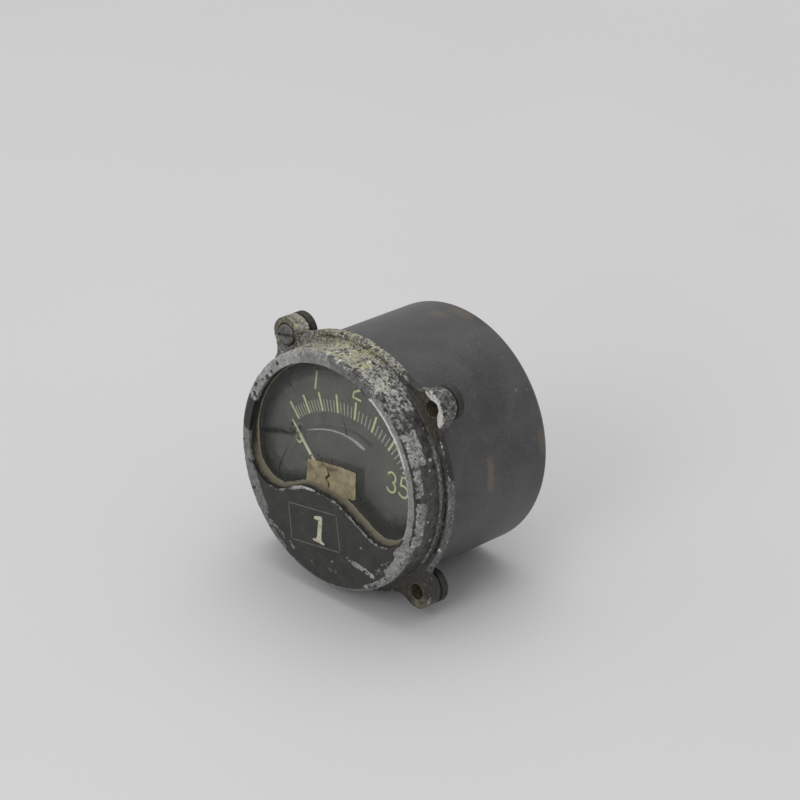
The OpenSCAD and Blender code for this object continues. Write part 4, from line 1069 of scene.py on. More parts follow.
def crumb_tree():
    """Scatters flattened grains over a surface where its attribute asks for them."""
    n, given, out = new_group(
        "Corrosion grains",
        [("Geometry", "geometry", None), ("Grains per square metre", "value", GRAIN_DENSITY),
         ("Smallest size", "value", GRAIN_SIZES[0] * MM), ("Largest size", "value", GRAIN_SIZES[1] * MM),
         ("Seed", "count", GRAIN_SEED), ("Material", "material", None)],
        [("Geometry", "geometry")], "GeometryNodeTree")
    where = n.add("GeometryNodeInputNamedAttribute", {"Name": "crumbs"}, data_type="FLOAT")
    density = n.times(given["Grains per square metre"], where.outputs["Attribute"])
    points = n.add("GeometryNodeDistributePointsOnFaces",
                   {"Mesh": given["Geometry"], "Density": density, "Seed": given["Seed"]})
    grain = n.add("GeometryNodeMeshIcoSphere", {"Radius": 1.0, "Subdivisions": 1})
    size = n.add("FunctionNodeRandomValue", {2: given["Smallest size"], 3: given["Largest size"],
                                             "Seed": given["Seed"]}, data_type="FLOAT").outputs[1]
    shape = n.add("ShaderNodeCombineXYZ", {0: size, 1: size, 2: n.times(size, 0.55)})
    placed = n.add("GeometryNodeInstanceOnPoints",
                   {"Points": points.outputs["Points"], "Instance": grain.outputs["Mesh"],
                    "Rotation": points.outputs["Rotation"], "Scale": shape.outputs[0]})
    return finish_tree(n, placed, given["Material"], out)


def grown(name, source, tree, values):
    """Runs a geometry-node tree on a copy of an object and keeps the result as plain mesh."""
    piece = new_piece(name, source)
    modifier = piece.modifiers.new("Grow", "NODES")
    modifier.node_group = tree
    for item in tree.interface.items_tree:
        if item.in_out == "INPUT" and item.name in values:
            modifier[item.identifier] = values[item.name]
    return baked(piece)


# Dial


def scale_tree():
    """Marks round the pivot whose spacing grows along the scale."""
    sizes = ("First angle", "Linear", "Quadratic", "Inner radius", "Outer radius", "Width", "Thickness",
             "Pivot across", "Pivot height", "Face")
    n, given, out = new_group(
        "Scale marks",
        [("Geometry", "geometry", None), ("Count", "count", None), ("Skip every", "count", None),
         *((name, "value", None) for name in sizes), ("Material", "material", None)],
        [("Geometry", "geometry")], "GeometryNodeTree")
    line = n.add("GeometryNodeMeshLine", {"Count": given["Count"]})
    index = n.add("GeometryNodeInputIndex").outputs[0]
    share = n.math("DIVIDE", index, n.minus(given["Count"], 1.0))
    growth = n.times(n.times(share, share), given["Quadratic"])
    angle = n.plus(given["First angle"], n.plus(n.times(share, given["Linear"]), growth))
    middle = n.times(n.plus(given["Inner radius"], given["Outer radius"]), 0.5)
    across = n.plus(given["Pivot across"], n.times(middle, n.math("SINE", angle)))
    up = n.plus(given["Pivot height"], n.times(middle, n.math("COSINE", angle)))
    level = n.minus(given["Face"], n.times(given["Thickness"], 0.5))
    place = n.add("ShaderNodeCombineXYZ", {0: across, 1: level, 2: up})
    points = n.add("GeometryNodeSetPosition", {"Geometry": line.outputs[0], "Position": place.outputs[0]})
    length = n.minus(given["Outer radius"], given["Inner radius"])
    size = n.add("ShaderNodeCombineXYZ", {0: given["Width"], 1: given["Thickness"], 2: length})
    mark = n.add("GeometryNodeMeshCube", {"Size": size.outputs[0], "Vertices X": 2, "Vertices Y": 2,
                                          "Vertices Z": 6})
    turn = n.add("ShaderNodeCombineXYZ", {1: angle})
    # With "Skip every" at 5, marks 0, 5, 10 and so on are left to the longer marks
    left_over = n.math("MODULO", index, n.math("MAXIMUM", given["Skip every"], 1.0))
    between = n.math("GREATER_THAN", left_over, 0.5)
    kept = n.math("MAXIMUM", between, n.math("LESS_THAN", given["Skip every"], 0.5))
    placed = n.add("GeometryNodeInstanceOnPoints",
                   {"Points": points.outputs[0], "Instance": mark.outputs["Mesh"], "Selection": kept,
                    "Rotation": turn.outputs[0]})
    return finish_tree(n, placed, given["Material"], out)


# Scale: angles clockwise from straight up over the whole range, and the marks' radii
SCALE_START = -44.8
SCALE_LINEAR = 70.6
SCALE_QUADRATIC = 19.0
MARK_INNER = 29.14
# Where the scale's middle stands beside and below the pointer's pivot
SCALE_SHIFT = (-0.3, -0.2)
MAJOR_OUTER = 34.6
MINOR_OUTER = 32.6
MAJOR_WIDTH = 0.72
MINOR_WIDTH = 0.36
# There are eight long marks, and four short ones between one long mark and the next
MAJORS = 8
MINORS_APART = 5
# Height of paint above the dial or the mask
PAINT_T = 0.05


def scale_marks(tree, name, count, skip, outer, width, material):
    """Marks of one length along the whole scale."""
    values = {
        "Count": count, "Skip every": skip, "First angle": math.radians(SCALE_START),
        "Linear": math.radians(SCALE_LINEAR), "Quadratic": math.radians(SCALE_QUADRATIC),
        "Inner radius": MARK_INNER * MM, "Outer radius": outer * MM, "Width": width * MM,
        "Thickness": PAINT_T * MM, "Pivot across": SCALE_SHIFT[0] * MM,
        "Pivot height": (PIVOT_Z + SCALE_SHIFT[1]) * MM, "Face": DIAL_FACE * MM,
        "Material": material,
    }
    piece = grown(name, bpy.data.meshes.new(name), tree, values)
    return settle(piece, slot="pointer_paint", material=material)


def arc(cx, cz, rx, rz, start, end, steps=14):
    """Points along an ellipse, with angles in degrees anticlockwise from +X."""
    turns = [math.radians(start + (end - start) * i / steps) for i in range(steps + 1)]
    return [(cx + rx * math.cos(t), cz + rz * math.sin(t)) for t in turns]


def direction(points, i):
    """The way a line of points runs at one of them."""
    return (points[min(i + 1, len(points) - 1)] - points[max(i - 1, 0)]).normalized()


def stroke(path, width, face, thickness, cap=4):
    """Rows of four places round a raised painted stroke with round ends, along a path across and up."""
    points = [Vector((px, pz)) for px, pz in path]
    rows = []
    for i, p in enumerate(points):
        way = direction(points, i)
        rows.append((p, Vector((-way.y, way.x)), way, 1.0))
    start, end = rows[0], rows[-1]
    for k in range(1, cap + 1):
        t = math.pi / 2 * k / cap
        reach, narrowed = width / 2 * math.sin(t), max(math.cos(t), 0.08)
        rows.insert(0, (start[0] - start[2] * reach, start[1], start[2], narrowed))
        rows.append((end[0] + end[2] * reach, end[1], end[2], narrowed))
    places = []
    for p, side, _, narrowed in rows:
        a, b = p + side * width / 2 * narrowed, p - side * width / 2 * narrowed
        places += [(a.x, face, a.y), (a.x, face - thickness, a.y), (b.x, face - thickness, b.y),
                   (b.x, face, b.y)]
    return places


def strokes_piece(name, paths, width, face, thickness, material):
    """One piece of raised paint from all these strokes."""
    verts, faces = [], []
    for path in paths:
        places = stroke(path, width, face, thickness)
        faces += tube_faces(len(places) // 4, 4, first=len(verts))
        verts += places
    piece = turn_outwards(piece_from_points(name, verts, faces))
    return settle(piece, slot="pointer_paint", material=material)


def figure_paths(figure, cx, cz, w, h):
    """Strokes of a plain figure centred at (cx, cz) with that width and height."""
    left, right, top, foot = cx - w / 2, cx + w / 2, cz + h / 2, cz - h / 2
    if figure == "1":
        return [[(cx + 0.1, top), (cx, cz), (cx - 0.1, foot)]]
    if figure == "2":
        return [arc(cx, top - h * 0.29, w / 2, h * 0.29, 165, -35, 14)
                + [(left + 0.1 * w, foot + 0.28 * h), (left, foot), (cx, foot), (right, foot)]]
    if figure == "3":
        return [arc(cx - 0.05 * w, top - h * 0.25, w * 0.5, h * 0.25, 150, -75, 14)
                + arc(cx - 0.05 * w, foot + h * 0.27, w * 0.55, h * 0.27, 75, -150, 16)]
    # The figure 5
    return [[(right, top), (cx, top), (left + 0.12 * w, top), (left + 0.04 * w, cz + 0.1 * h)]
            + arc(cx - 0.1 * w, foot + h * 0.29, w * 0.6, h * 0.29, 125, -145, 16)]


# Figures on the dial: figure, middle across and up, width and height
DIAL_FIGURES = [
    ("1", -15.2, 19.9, 0.5, 5.4), ("2", 0.9, 23.3, 3.1, 5.9),
    ("3", 19.2, 17.8, 3.0, 5.8), ("3", 16.4, 0.9, 3.0, 6.1), ("5", 21.2, 1.2, 3.0, 6.0),
]
# The worn nought: its middle, and half its width and height
ZERO = (-20.3, 1.2, 1.35, 3.1)
# Width of the figures' strokes, and of the worn ones
FIGURE_STROKE = 0.6
WORN_STROKE = 0.45


def dial_marks():
    """Scale marks and figures, all in raised paint."""
    tree = scale_tree()
    minors = (MAJORS - 1) * MINORS_APART + 1
    scale_marks(tree, "scale_majors", MAJORS, 0, MAJOR_OUTER, MAJOR_WIDTH, SCALE_PAINT)
    scale_marks(tree, "scale_minors", minors, MINORS_APART, MINOR_OUTER, MINOR_WIDTH, MINOR_PAINT)
    paths = [p for figure in DIAL_FIGURES for p in figure_paths(*figure)]
    # The nought has lost most of its paint and keeps its foot
    paths.append(arc(*ZERO, 188, 335))
    strokes_piece("dial_figures", paths, FIGURE_STROKE, DIAL_FACE, PAINT_T, SCALE_PAINT)
    strokes_piece("dial_figure_worn", [arc(*ZERO, 5, 165, 16)], WORN_STROKE, DIAL_FACE, PAINT_T, FAINT_PAINT)


# Glass, its cracks and the label

# Cracks and a bright arc on the glass: name, points across and up on the glass's front, widths and finish
CRACKS = [
    ("crack_upper_left", [(-21.6, 20.0), (-18.6, 18.1), (-15.2, 15.7)], [0.2, 0.4, 0.2], "shadow"),
    ("crack_top", [(-0.4, 31.0), (0.1, 27.8), (0.5, 22.4), (1.8, 17.1), (3.3, 13.7), (3.9, 11.8)],
     [0.2, 0.25, 0.2, 0.25, 0.2, 0.15], "pale"),
    ("crack_foot", [(1.6, 17.0), (3.0, 14.6), (3.5, 13.0), (3.9, 11.8)], [0.2, 0.35, 0.4, 0.2], "dark"),
    # A bright arc with a broad end on the right, laid on the glass as a pale film
    ("bright_arc", [(-12.5, 6.8), (-9.4, 8.6), (-5.9, 10.1), (-2.0, 11.3), (1.9, 11.9), (5.0, 11.9),
                   (7.8, 11.5), (9.8, 11.0), (11.0, 10.8)],
     [0.3, 0.5, 0.5, 0.6, 0.6, 1.0, 1.6, 1.9, 1.7], "bright"),
    ("crack_left", [(-31.2, -0.4), (-26.3, 1.3), (-21.5, 3.0), (-18.3, 3.7), (-15.1, 5.1)],
     [2.0, 2.6, 2.0, 1.4, 0.8], "shadow"),
    ("crack_left_line", [(-27.0, 1.2), (-21.5, 3.0), (-18.3, 3.7), (-15.1, 5.1)],
     [0.1, 0.2, 0.25, 0.2], "dark"),
    ("crack_lower_left", [(-21.6, -11.4), (-21.5, -7.8), (-20.1, -4.0), (-18.4, -0.4), (-16.6, 2.9)],
     [0.3, 0.6, 0.45, 0.4, 0.3], "dark"),
    ("crack_beside", [(-20.6, -5.5), (-19.0, -2.2), (-17.6, 0.6), (-16.4, 2.6)],
     [0.2, 0.35, 0.4, 0.3], "pale"),
]
CRACK_FINISH = {
    "dark": film_material("Dark crack", (0.012, 0.012, 0.012), 0.8),
    "shadow": film_material("Shadowed crack", (0.016, 0.017, 0.02), 0.42),
    "pale": film_material("Pale crack", (0.3, 0.31, 0.28), 0.55),
    "bright": film_material("Bright arc film", (0.52, 0.53, 0.49), 0.85, 0.5),
}
# How far a crack or a splinter, a smear and the film of dust stand in front of the glass
CRACK_LIFT = 0.02
SMEAR_LIFT = 0.015
DUST_LIFT = 0.01
# Thickness of a smear or a splinter, and of the film of dust
SMEAR_T = 0.01
DUST_T = 0.008


def along_path(path, widths, step=0.35):
    """Even points and widths along a polyline."""
    points, spans = [], []
    for (a, b), (wa, wb) in zip(zip(path[:-1], path[1:]), zip(widths[:-1], widths[1:])):
        a, b = Vector(a), Vector(b)
        count = max(2, int((b - a).length / step))
        for i in range(count):
            points.append(a.lerp(b, i / count))
            spans.append(wa + (wb - wa) * i / count)
    points.append(Vector(path[-1]))
    spans.append(widths[-1])
    return points, spans


def crack_piece(name, path, widths, finish):
    """A thin sliver with ragged edges on the glass's front."""
    points, spans = along_path(path, widths)
    for _ in range(3):
        rounded = [(a + b * 2 + c) / 4 for a, b, c in zip(points, points[1:], points[2:])]
        points = [points[0]] + rounded + [points[-1]]
    verts = []
    near, far = GLASS_FRONT - CRACK_LIFT / 2, GLASS_FRONT - CRACK_LIFT
    for i, p in enumerate(points):
        way = direction(points, i)
        side = Vector((-way.y, way.x))
        jitter = 0.12 * noise.noise(Vector((p.x * 1.7, 3.0, p.y * 1.7)))
        half = spans[i] / 2 * (1 + 0.6 * noise.noise(Vector((p.x * 2.3, 9.0, p.y * 2.3))))
        taper = min(1.0, 0.25 + 3.0 * i / len(points), 0.5 + 8.0 * (len(points) - 1 - i) / len(points))
        m = p + side * jitter
        a, b = m + side * half * taper, m - side * half * taper
        verts += [(a.x, near, a.y), (a.x, far, a.y), (m.x, far, m.y), (b.x, far, b.y), (b.x, near, b.y),
                  (m.x, near, m.y)]
    piece = turn_outwards(piece_from_points(name, verts, tube_faces(len(points), 6)))
    set_attribute(piece.data, "fade", np.array([0.0, 0.0, 1.0, 0.0, 0.0, 1.0] * len(points)))
    return settle(piece, slot="cover_glass", material=CRACK_FINISH[finish])


def glass_film(name, verts, faces, fade, thickness, material):
    """A thin film on the glass from flat faces, and how much it covers at each of their points."""
    piece = piece_from_points(name, verts, faces)
    set_attribute(piece.data, "fade", np.array(fade))
    return settle(thickened(piece, thickness), slot="cover_glass", material=material)


def on_glass(centre, u, v, turn, lift):
    """The place this far along two axes from a centre on the glass, with the axes turned by an angle."""
    return (centre[0] + u * math.cos(turn) - v * math.sin(turn), GLASS_FRONT - lift,
            centre[1] + u * math.sin(turn) + v * math.cos(turn))


def smudge(name, centre, reach, turn, material):
    """A lens-shaped smear on the glass."""
    verts = [(centre[0], GLASS_FRONT - SMEAR_LIFT, centre[1])]
    count = 40
    for i in range(count):
        a = 2 * math.pi * i / count
        ragged = 1 + 0.14 * noise.noise(Vector((math.cos(a) * 2, math.sin(a) * 2, 5)))
        u, v = reach[0] * math.cos(a) * ragged, reach[1] * math.sin(a) * ragged
        verts.append(on_glass(centre, u, v, turn, SMEAR_LIFT))
    faces = [(0, 1 + (i + 1) % count, 1 + i) for i in range(count)]
    return glass_film(name, verts, faces, [1.0] + [0.0] * count, SMEAR_T, material)


# Smears on the glass: name, middle, half length and width, turn, and their film's name, colour and cover
SMEARS = [
    ("glass_smear", (-8.2, 12.2), (3.0, 1.9), 40, ("Smear", (0.22, 0.22, 0.21), 0.32)),
    ("impact_mark", (-15.4, 4.5), (1.1, 0.8), 20, ("Impact", (0.26, 0.27, 0.26), 0.4)),
]
# Splinters of the glass: name, how many, seed, and their film's name, colour and cover
SPLINTERS = [
    ("dark_splinters", 34, 5, ("Dark splinter", (0.02, 0.019, 0.014), 0.75)),
    ("pale_splinters", 17, 9, ("Pale splinter", (0.3, 0.29, 0.22), 0.6)),
]
# The place where the glass was struck, how far the splinters spread from it, and their sizes
STRUCK_AT = (-16.2, 5.0)
SPLINTER_SPREAD = (2.1, 2.5)
SPLINTER_SIZE = (0.18, 0.5)


def splinters(name, count, seed, material):
    """Small ragged chips of glass and dirt scattered round the place where the glass was struck."""
    choose = np.random.default_rng(seed)
    verts, faces, fade = [], [], []
    for _ in range(count):
        middle = choose.normal(STRUCK_AT, np.array(SPLINTER_SPREAD) / 2)
        size = choose.uniform(*SPLINTER_SIZE)
        turn = choose.uniform(0, math.pi)
        sides = int(choose.integers(5, 8))
        first = len(verts)
        verts.append((middle[0], GLASS_FRONT - CRACK_LIFT, middle[1]))
        fade += [1.0] + [0.6] * sides
        for k in range(sides):
            a = 2 * math.pi * k / sides + choose.uniform(-0.3, 0.3)
            verts.append(on_glass(middle, size * math.cos(a), 0.5 * size * math.sin(a), turn, CRACK_LIFT))
            faces.append((first, first + 1 + (k + 1) % sides, first + 1 + k))
    return glass_film(name, verts, faces, fade, SMEAR_T, material)


def window_loop():
    """The window's edge at the glass, as an ordered ring of places across and up."""
    bm = cad_copy("bezel_casting")
    seat = [e for e in bm.edges
            if all(abs(v.co.y - GLASS_FRONT) < 0.01 and math.hypot(v.co.x, v.co.z) < WINDOW_R + 0.05
                   for v in e.verts) and e.calc_face_angle(0) > math.radians(60)]
    following = {}
    for e in seat:
        for v, w in (e.verts, reversed(e.verts)):
            following.setdefault(v.index, []).append(w.index)
    places = {v.index: Vector((v.co.x, v.co.z)) for e in seat for v in e.verts}
    start = min(places)
    ring, last, here = [], None, start
    while True:
        ring.append(places[here])
        onward = [i for i in following[here] if i != last]
        last, here = here, onward[0]
        if here == start or len(ring) > len(places):
            break
    bm.free()
    return ring


def even_ring(ring, step):
    """The same closed line with even spacing, anticlockwise."""
    area = sum(a.x * b.y - b.x * a.y for a, b in zip(ring, ring[1:] + ring[:1]))
    if area < 0:
        ring = ring[::-1]
    closed = ring + ring[:1]
    lengths = np.cumsum([0] + [(b - a).length for a, b in zip(closed[:-1], closed[1:])])
    count = int(lengths[-1] / step)
    at = np.linspace(0, lengths[-1], count, endpoint=False)
    xs = np.interp(at, lengths, [p.x for p in closed])
    zs = np.interp(at, lengths, [p.y for p in closed])
    return np.column_stack([xs, zs])


def inward_of(ring):
    """The way towards the middle at each place of an anticlockwise ring."""
    before, after = np.roll(ring, 1, 0), np.roll(ring, -1, 0)
    way = (after - before) / np.linalg.norm(after - before, axis=1)[:, None]
    return np.column_stack([-way[:, 1], way[:, 0]])


def stretch(kept):
    """The numbers of a ring's kept places, in order from where their stretch starts."""
    first = next(i for i in range(len(kept)) if kept[i] and not kept[i - 1])
    return [(first + i) % len(kept) for i in range(sum(kept))]


def fraction(value, start, end):
    """How far a value has come from start to end, from 0 to 1."""
    return min(max((value - start) / (end - start), 0), 1)


# Section of the sealing bead: how far out from the wall and up it, as shares of its size, and its tone
# from dark (0) to tan (1)
BEAD_SECTION = [(-0.1, 0.0, 1.0), (-0.1, 1.0, 0.0), (0.05, 0.98, 0.05), (0.14, 0.62, 0.3),
                (0.32, 0.34, 0.55), (0.6, 0.14, 0.8), (1.0, 0.0, 1.0)]
# Its width and height at the top of the window, and how much more there is of both along the mask
BEAD_WIDTH = (0.45, 0.75)
BEAD_HEIGHT = (1.3, 1.0)
BEAD_HIGHEST = 2.6


def sealing_bead(loop):
    """Old sealant in a ragged fillet between the glass and the window's wall, thickest along the mask."""
    raised = [Vector((x, z + rise)) for (x, z), rise in zip(loop, edge_raised(np.array(loop)))]
    ring = even_ring(raised, 0.4)
    verts, along, pale = [], [], []
    for (x, z), q in zip(ring, inward_of(ring)):
        low = fraction(z, 4, -4)
        swell = 1 + 0.3 * noise.fractal(Vector((x * 0.45, 2.0, z * 0.45)), 0.7, 2.0, 3)
        width = (BEAD_WIDTH[0] + BEAD_WIDTH[1] * low) * swell
        height = min((BEAD_HEIGHT[0] + BEAD_HEIGHT[1] * low) * (0.5 + 0.5 * swell), BEAD_HIGHEST)
        for out, up, tone in BEAD_SECTION:
            step = out * width if out > 0 else out
            verts.append((x + q[0] * step, GLASS_FRONT + 0.02 - up * height, z + q[1] * step))
            along.append(tone)
            pale.append(fraction(z, -3, -9))
    faces = tube_faces(len(ring), len(BEAD_SECTION), closed=True)
    piece = turn_outwards(piece_from_points("sealing_bead", verts, faces))
    set_attribute(piece.data, "along", np.array(along))
    set_attribute(piece.data, "pale", np.array(pale))
    return settle(piece, slot="gasket_rubber", material=PUTTY, sharp=80)


# Dust and painted light on the glass's edge: how far in from the wall each line of it lies, and how thickly
# it covers there
HAZE_LINES = [(0.0, 1.0), (1.3, 1.0), (2.1, 0.62), (3.4, 0.3), (5.2, 0.0)]
# The angles it starts and ends at, and over how many degrees it comes and goes there
HAZE_FROM, HAZE_TO = 80, 354
HAZE_COMES, HAZE_GOES = 40, 14
# How much wider it is below on the right
HAZE_WIDER = 0.5


def edge_dust_and_painted_light(loop):
    """Film on the glass along the left and lower edges of the window, thinning towards the middle: dust, and
    painted light, a film in the dial's lit colour over the shade behind the window's wall.
    """
    ring = even_ring(loop, 0.6)
    inward = inward_of(ring)
    angle = np.degrees(np.arctan2(ring[:, 1], ring[:, 0])) % 360
    order = stretch([HAZE_FROM < a < HAZE_TO for a in angle])
    verts, fade, faces = [], [], []
    for i in order:
        ends = min((angle[i] - HAZE_FROM) / HAZE_COMES, (HAZE_TO - angle[i]) / HAZE_GOES, 1.0)
        wider = 1 + HAZE_WIDER * fraction(angle[i], 270, 300)
        for out, cover in HAZE_LINES:
            place = ring[i] + inward[i] * out * wider
            verts.append((place[0], GLASS_FRONT - DUST_LIFT, place[1]))
            fade.append(0.7 * cover * ends)
    size = len(HAZE_LINES)
    for i in range(len(order) - 1):
        for k in range(size - 1):
            a = i * size + k
            faces.append((a, a + 1, a + 1 + size, a + size))
    return glass_film("glass_edge_dust_and_painted_light", verts, faces, fade, DUST_T,
                      film_material("Glass edge dust and painted light", (0.062, 0.066, 0.058), 0.97, 0.75))


# How far the liner behind the glass slopes in: on the right, at the far left, and low down
LINER_IN = (2.4, 3.2)
LINER_LOW = 0.9
LINER_T = 0.5
# It is open behind the mask's hump, between these places across
LINER_GAP = (-14, 11)


def window_liner(loop):
    """Sloping liner from the glass's back to the dial, painted like the dial."""
    ring = even_ring(loop, 0.6)
    inward = inward_of(ring)
    order = stretch([not (LINER_GAP[0] < x < LINER_GAP[1] and z < 0) for x, z in ring])
    verts = []
    for i in order:
        (x, z), q = ring[i], inward[i]
        slope = LINER_IN[0] + (LINER_IN[1] - LINER_IN[0]) * fraction(x, 0, -25)
        slope = slope + (LINER_LOW - slope) * fraction(z, -4, -10)
        section = ((0.05, GLASS_BACK + 0.03), (slope, DIAL_FACE - 0.02), (slope - LINER_T, DIAL_FACE - 0.02),
                   (-0.12, GLASS_BACK + 0.4))
        verts += [(x + q[0] * out, y, z + q[1] * out) for out, y in section]
    piece = turn_outwards(piece_from_points("window_liner", verts, tube_faces(len(order), 4)))
    return settle(piece, slot="dial_paint")


# Shields that close the dial's hole beside the pointer's swing: angles from straight up, inner and outer
# radius, and how far behind the dial's face their two sides lie
SHIELD_ANGLES = (52, 124)
SHIELD_R = (5.6, 9.6)
SHIELD_BEHIND = (0.02, 0.4)


def dial_shields():
    """Two plates just behind the dial's face that hide the movement on both sides of the pointer's swing."""
    verts, faces = [], []
    steps = 14
    near, far = DIAL_FACE + SHIELD_BEHIND[0], DIAL_FACE + SHIELD_BEHIND[1]
    section = [(SHIELD_R[0], near), (SHIELD_R[0], far), (SHIELD_R[1], far), (SHIELD_R[1], near)]
    for side in (-1, 1):
        faces += tube_faces(steps + 1, len(section), first=len(verts))
        for i in range(steps + 1):
            a = side * math.radians(SHIELD_ANGLES[0] + (SHIELD_ANGLES[1] - SHIELD_ANGLES[0]) * i / steps)
            verts += [(r * math.sin(a), y, PIVOT_Z + r * math.cos(a)) for r, y in section]
    piece = turn_outwards(piece_from_points("dial_shields", verts, faces))
    return settle(piece, slot="dial_paint")


# Label: its corners on the glass from the top left round, the tear through it, and its thickness
LABEL_CORNERS = [(-10.6, -1.0), (-6.4, 0.15), (-0.7, 1.3), (2.4, 1.85), (8.5, 2.6), (9.1, -6.2),
                 (7.4, -6.4), (-1.0, -8.3), (-10.6, -8.6)]
LABEL_TEAR = [(-2.5, -0.9), (-1.9, -2.0), (-1.5, -2.6), (-2.5, -3.4), (-2.7, -3.9), (-1.7, -4.6),
              (-1.4, -5.2), (-1.6, -6.6), (-1.5, -8.4)]
LABEL_T = 0.1
# Gap between the label and the mask's edge, size of its mesh, how far its ragged edges stray, and height
# of the curl at the tear
LABEL_GAP = 0.55
LABEL_STEP = 0.22
LABEL_RAGGED = 0.22
LABEL_CURL = 0.22
# Brown stains on the label: line, reach and strength
LABEL_STAINS = [(LABEL_TEAR, 0.7, 0.65), ([(-4.5, -0.4), (-1.5, -0.6), (1.0, 0.3)], 1.5, 0.55),
                ([(-9.5, -2.5), (-6.0, -4.5), (-7.5, -6.5)], 2.0, 0.35)]
# Scraps of old paper left above the label: place, half length and turn
LABEL_SCRAPS = [(-9.4, 0.3, 0.75, 60), (-6.6, 1.7, 0.55, 80), (-5.2, 0.9, 0.5, 20), (-1.2, 2.1, 0.7, 95),
                (-11.2, -1.4, 0.6, 100), (-11.1, -4.2, 0.5, 80), (2.2, 2.4, 0.5, 10)]


def inside(point, outline):
    """Whether a point lies inside a closed outline, by counting crossings."""
    x, z = point
    crossings = 0
    for (ax, az), (bx, bz) in zip(outline, outline[1:] + outline[:1]):
        if (az > z) != (bz > z) and x < ax + (z - az) / (bz - az) * (bx - ax):
            crossings += 1
    return crossings % 2 == 1


def label_sheet(loop):
    """The label's flat mesh: ragged edges, cut off where it meets the mask, and open along the tear."""
    ring = even_ring(loop, 0.5)
    window = [tuple(p) for p in ring + LABEL_GAP * inward_of(ring)]
    xs = np.arange(-11.5, 10, LABEL_STEP)
    zs = np.arange(-9, 3.5, LABEL_STEP)
    paper = set()
    for i, px in enumerate(xs):
        for j, pz in enumerate(zs):
            u = px + LABEL_RAGGED * noise.noise(Vector((px * 1.1, pz * 1.1, 1.0)))
            v = pz + LABEL_RAGGED * noise.noise(Vector((px * 1.1, pz * 1.1, 8.0)))
            off_tear = near_line(np.array([u]), np.array([v]), LABEL_TEAR, 0.05)[0] == 0
            if off_tear and inside((u, v), LABEL_CORNERS) and inside((px, pz), window):
                paper.add((i, j))
    bm = bmesh.new()
    made = {}

    def vert(place):
        if place not in made:
            made[place] = bm.verts.new((xs[place[0]], 0.0, zs[place[1]]))
        return made[place]

    for i in range(len(xs)):
        for j in range(len(zs)):
            corners = [(i, j), (i + 1, j), (i + 1, j + 1), (i, j + 1)]
            if paper.issuperset(corners):
                bm.faces.new([vert(place) for place in corners])
    for _ in range(3):
        smoothed = {}
        for v in bm.verts:
            around = [e.other_vert(v).co for e in v.link_edges if e.is_boundary]
            if around:
                smoothed[v] = v.co.lerp(sum(around, Vector()) / len(around), 0.5)
        for v, co in smoothed.items():
            v.co = co
    return bm


def torn_label(loop):
    """The paper label, stained, rippled and curled at its tear."""
    bm = label_sheet(loop)
    x, z = np.array([(v.co.x, v.co.z) for v in bm.verts]).T
    stains = [strength * near_line(x, z, path, reach) for path, reach, strength in LABEL_STAINS]
    for v, near in zip(bm.verts, near_line(x, z, LABEL_TEAR, 1.3)):
        ripple = 0.05 * noise.fractal(Vector((v.co.x * 0.4, 1.0, v.co.z * 0.4)), 0.7, 2.0, 3)
        v.co.y = GLASS_FRONT - 0.05 - LABEL_T - max(0, ripple) - LABEL_CURL * near ** 2
    piece = piece_from_bmesh("paper_label_aged", bm)
    set_attribute(piece.data, "stain", np.max(stains, axis=0))
    return settle(thickened(piece, LABEL_T), "paper_label")


# Mask markings: the box round the figure, and the figure itself
MASK_BOX = [(-14.05, -15.43), (4.8, -11.59), (7.33, -22.25), (-11.76, -26.2)]
MASK_ONE = [(-3.7, -15.6), (-2.6, -14.9), (-1.4, -14.5), (-0.5, -14.5), (-0.3, -21.2), (-0.1, -21.9),
            (1.1, -22.3), (1.1, -22.8), (-3.6, -22.9), (-3.6, -22.4), (-2.3, -22.1), (-2.0, -21.4),
            (-1.9, -16.0), (-3.6, -16.2)]
BOX_STROKE = 0.36
# How far the figure's edge strays
MASK_RAGGED = 0.16
# The paint on the mask reaches this far into it, so that no gap shows on the uneven surface
MASK_SUNK = 0.03


def mask_markings():
    """The thin box on the mask and the off-white figure in it."""
    steps = 24
    sides = [[tuple(Vector(a).lerp(Vector(b), i / steps)) for i in range(steps + 1)]
             for a, b in zip(MASK_BOX, MASK_BOX[1:] + MASK_BOX[:1])]
    strokes_piece("mask_box_lines", sides, BOX_STROKE, FRONT + 0.02, PAINT_T + MASK_SUNK, FAINT_PAINT)
    bm = bmesh.new()
    face = bm.faces.new([bm.verts.new((px, FRONT - PAINT_T, pz)) for px, pz in MASK_ONE])
    bmesh.ops.subdivide_edges(bm, edges=face.edges[:], cuts=5)
    for v in bm.verts:
        v.co.x += MASK_RAGGED * noise.noise(v.co * 1.5)
        v.co.z += MASK_RAGGED * noise.noise(v.co * 1.5 + Vector((0, 9, 0)))
    bmesh.ops.triangulate(bm, faces=bm.faces[:])
    figure = thickened(piece_from_bmesh("mask_figure", bm), PAINT_T + MASK_SUNK)
    settle(figure, slot="pointer_paint", material=MASK_PAINT)


# Threads

# Depth of a thread for its pitch, how far it is chamfered at its end, and how finely it is made
THREAD_DEPTH = 0.61 / 2
THREAD_CHAMFER = 0.45
THREAD_AROUND = 48
THREAD_LEVELS = 90


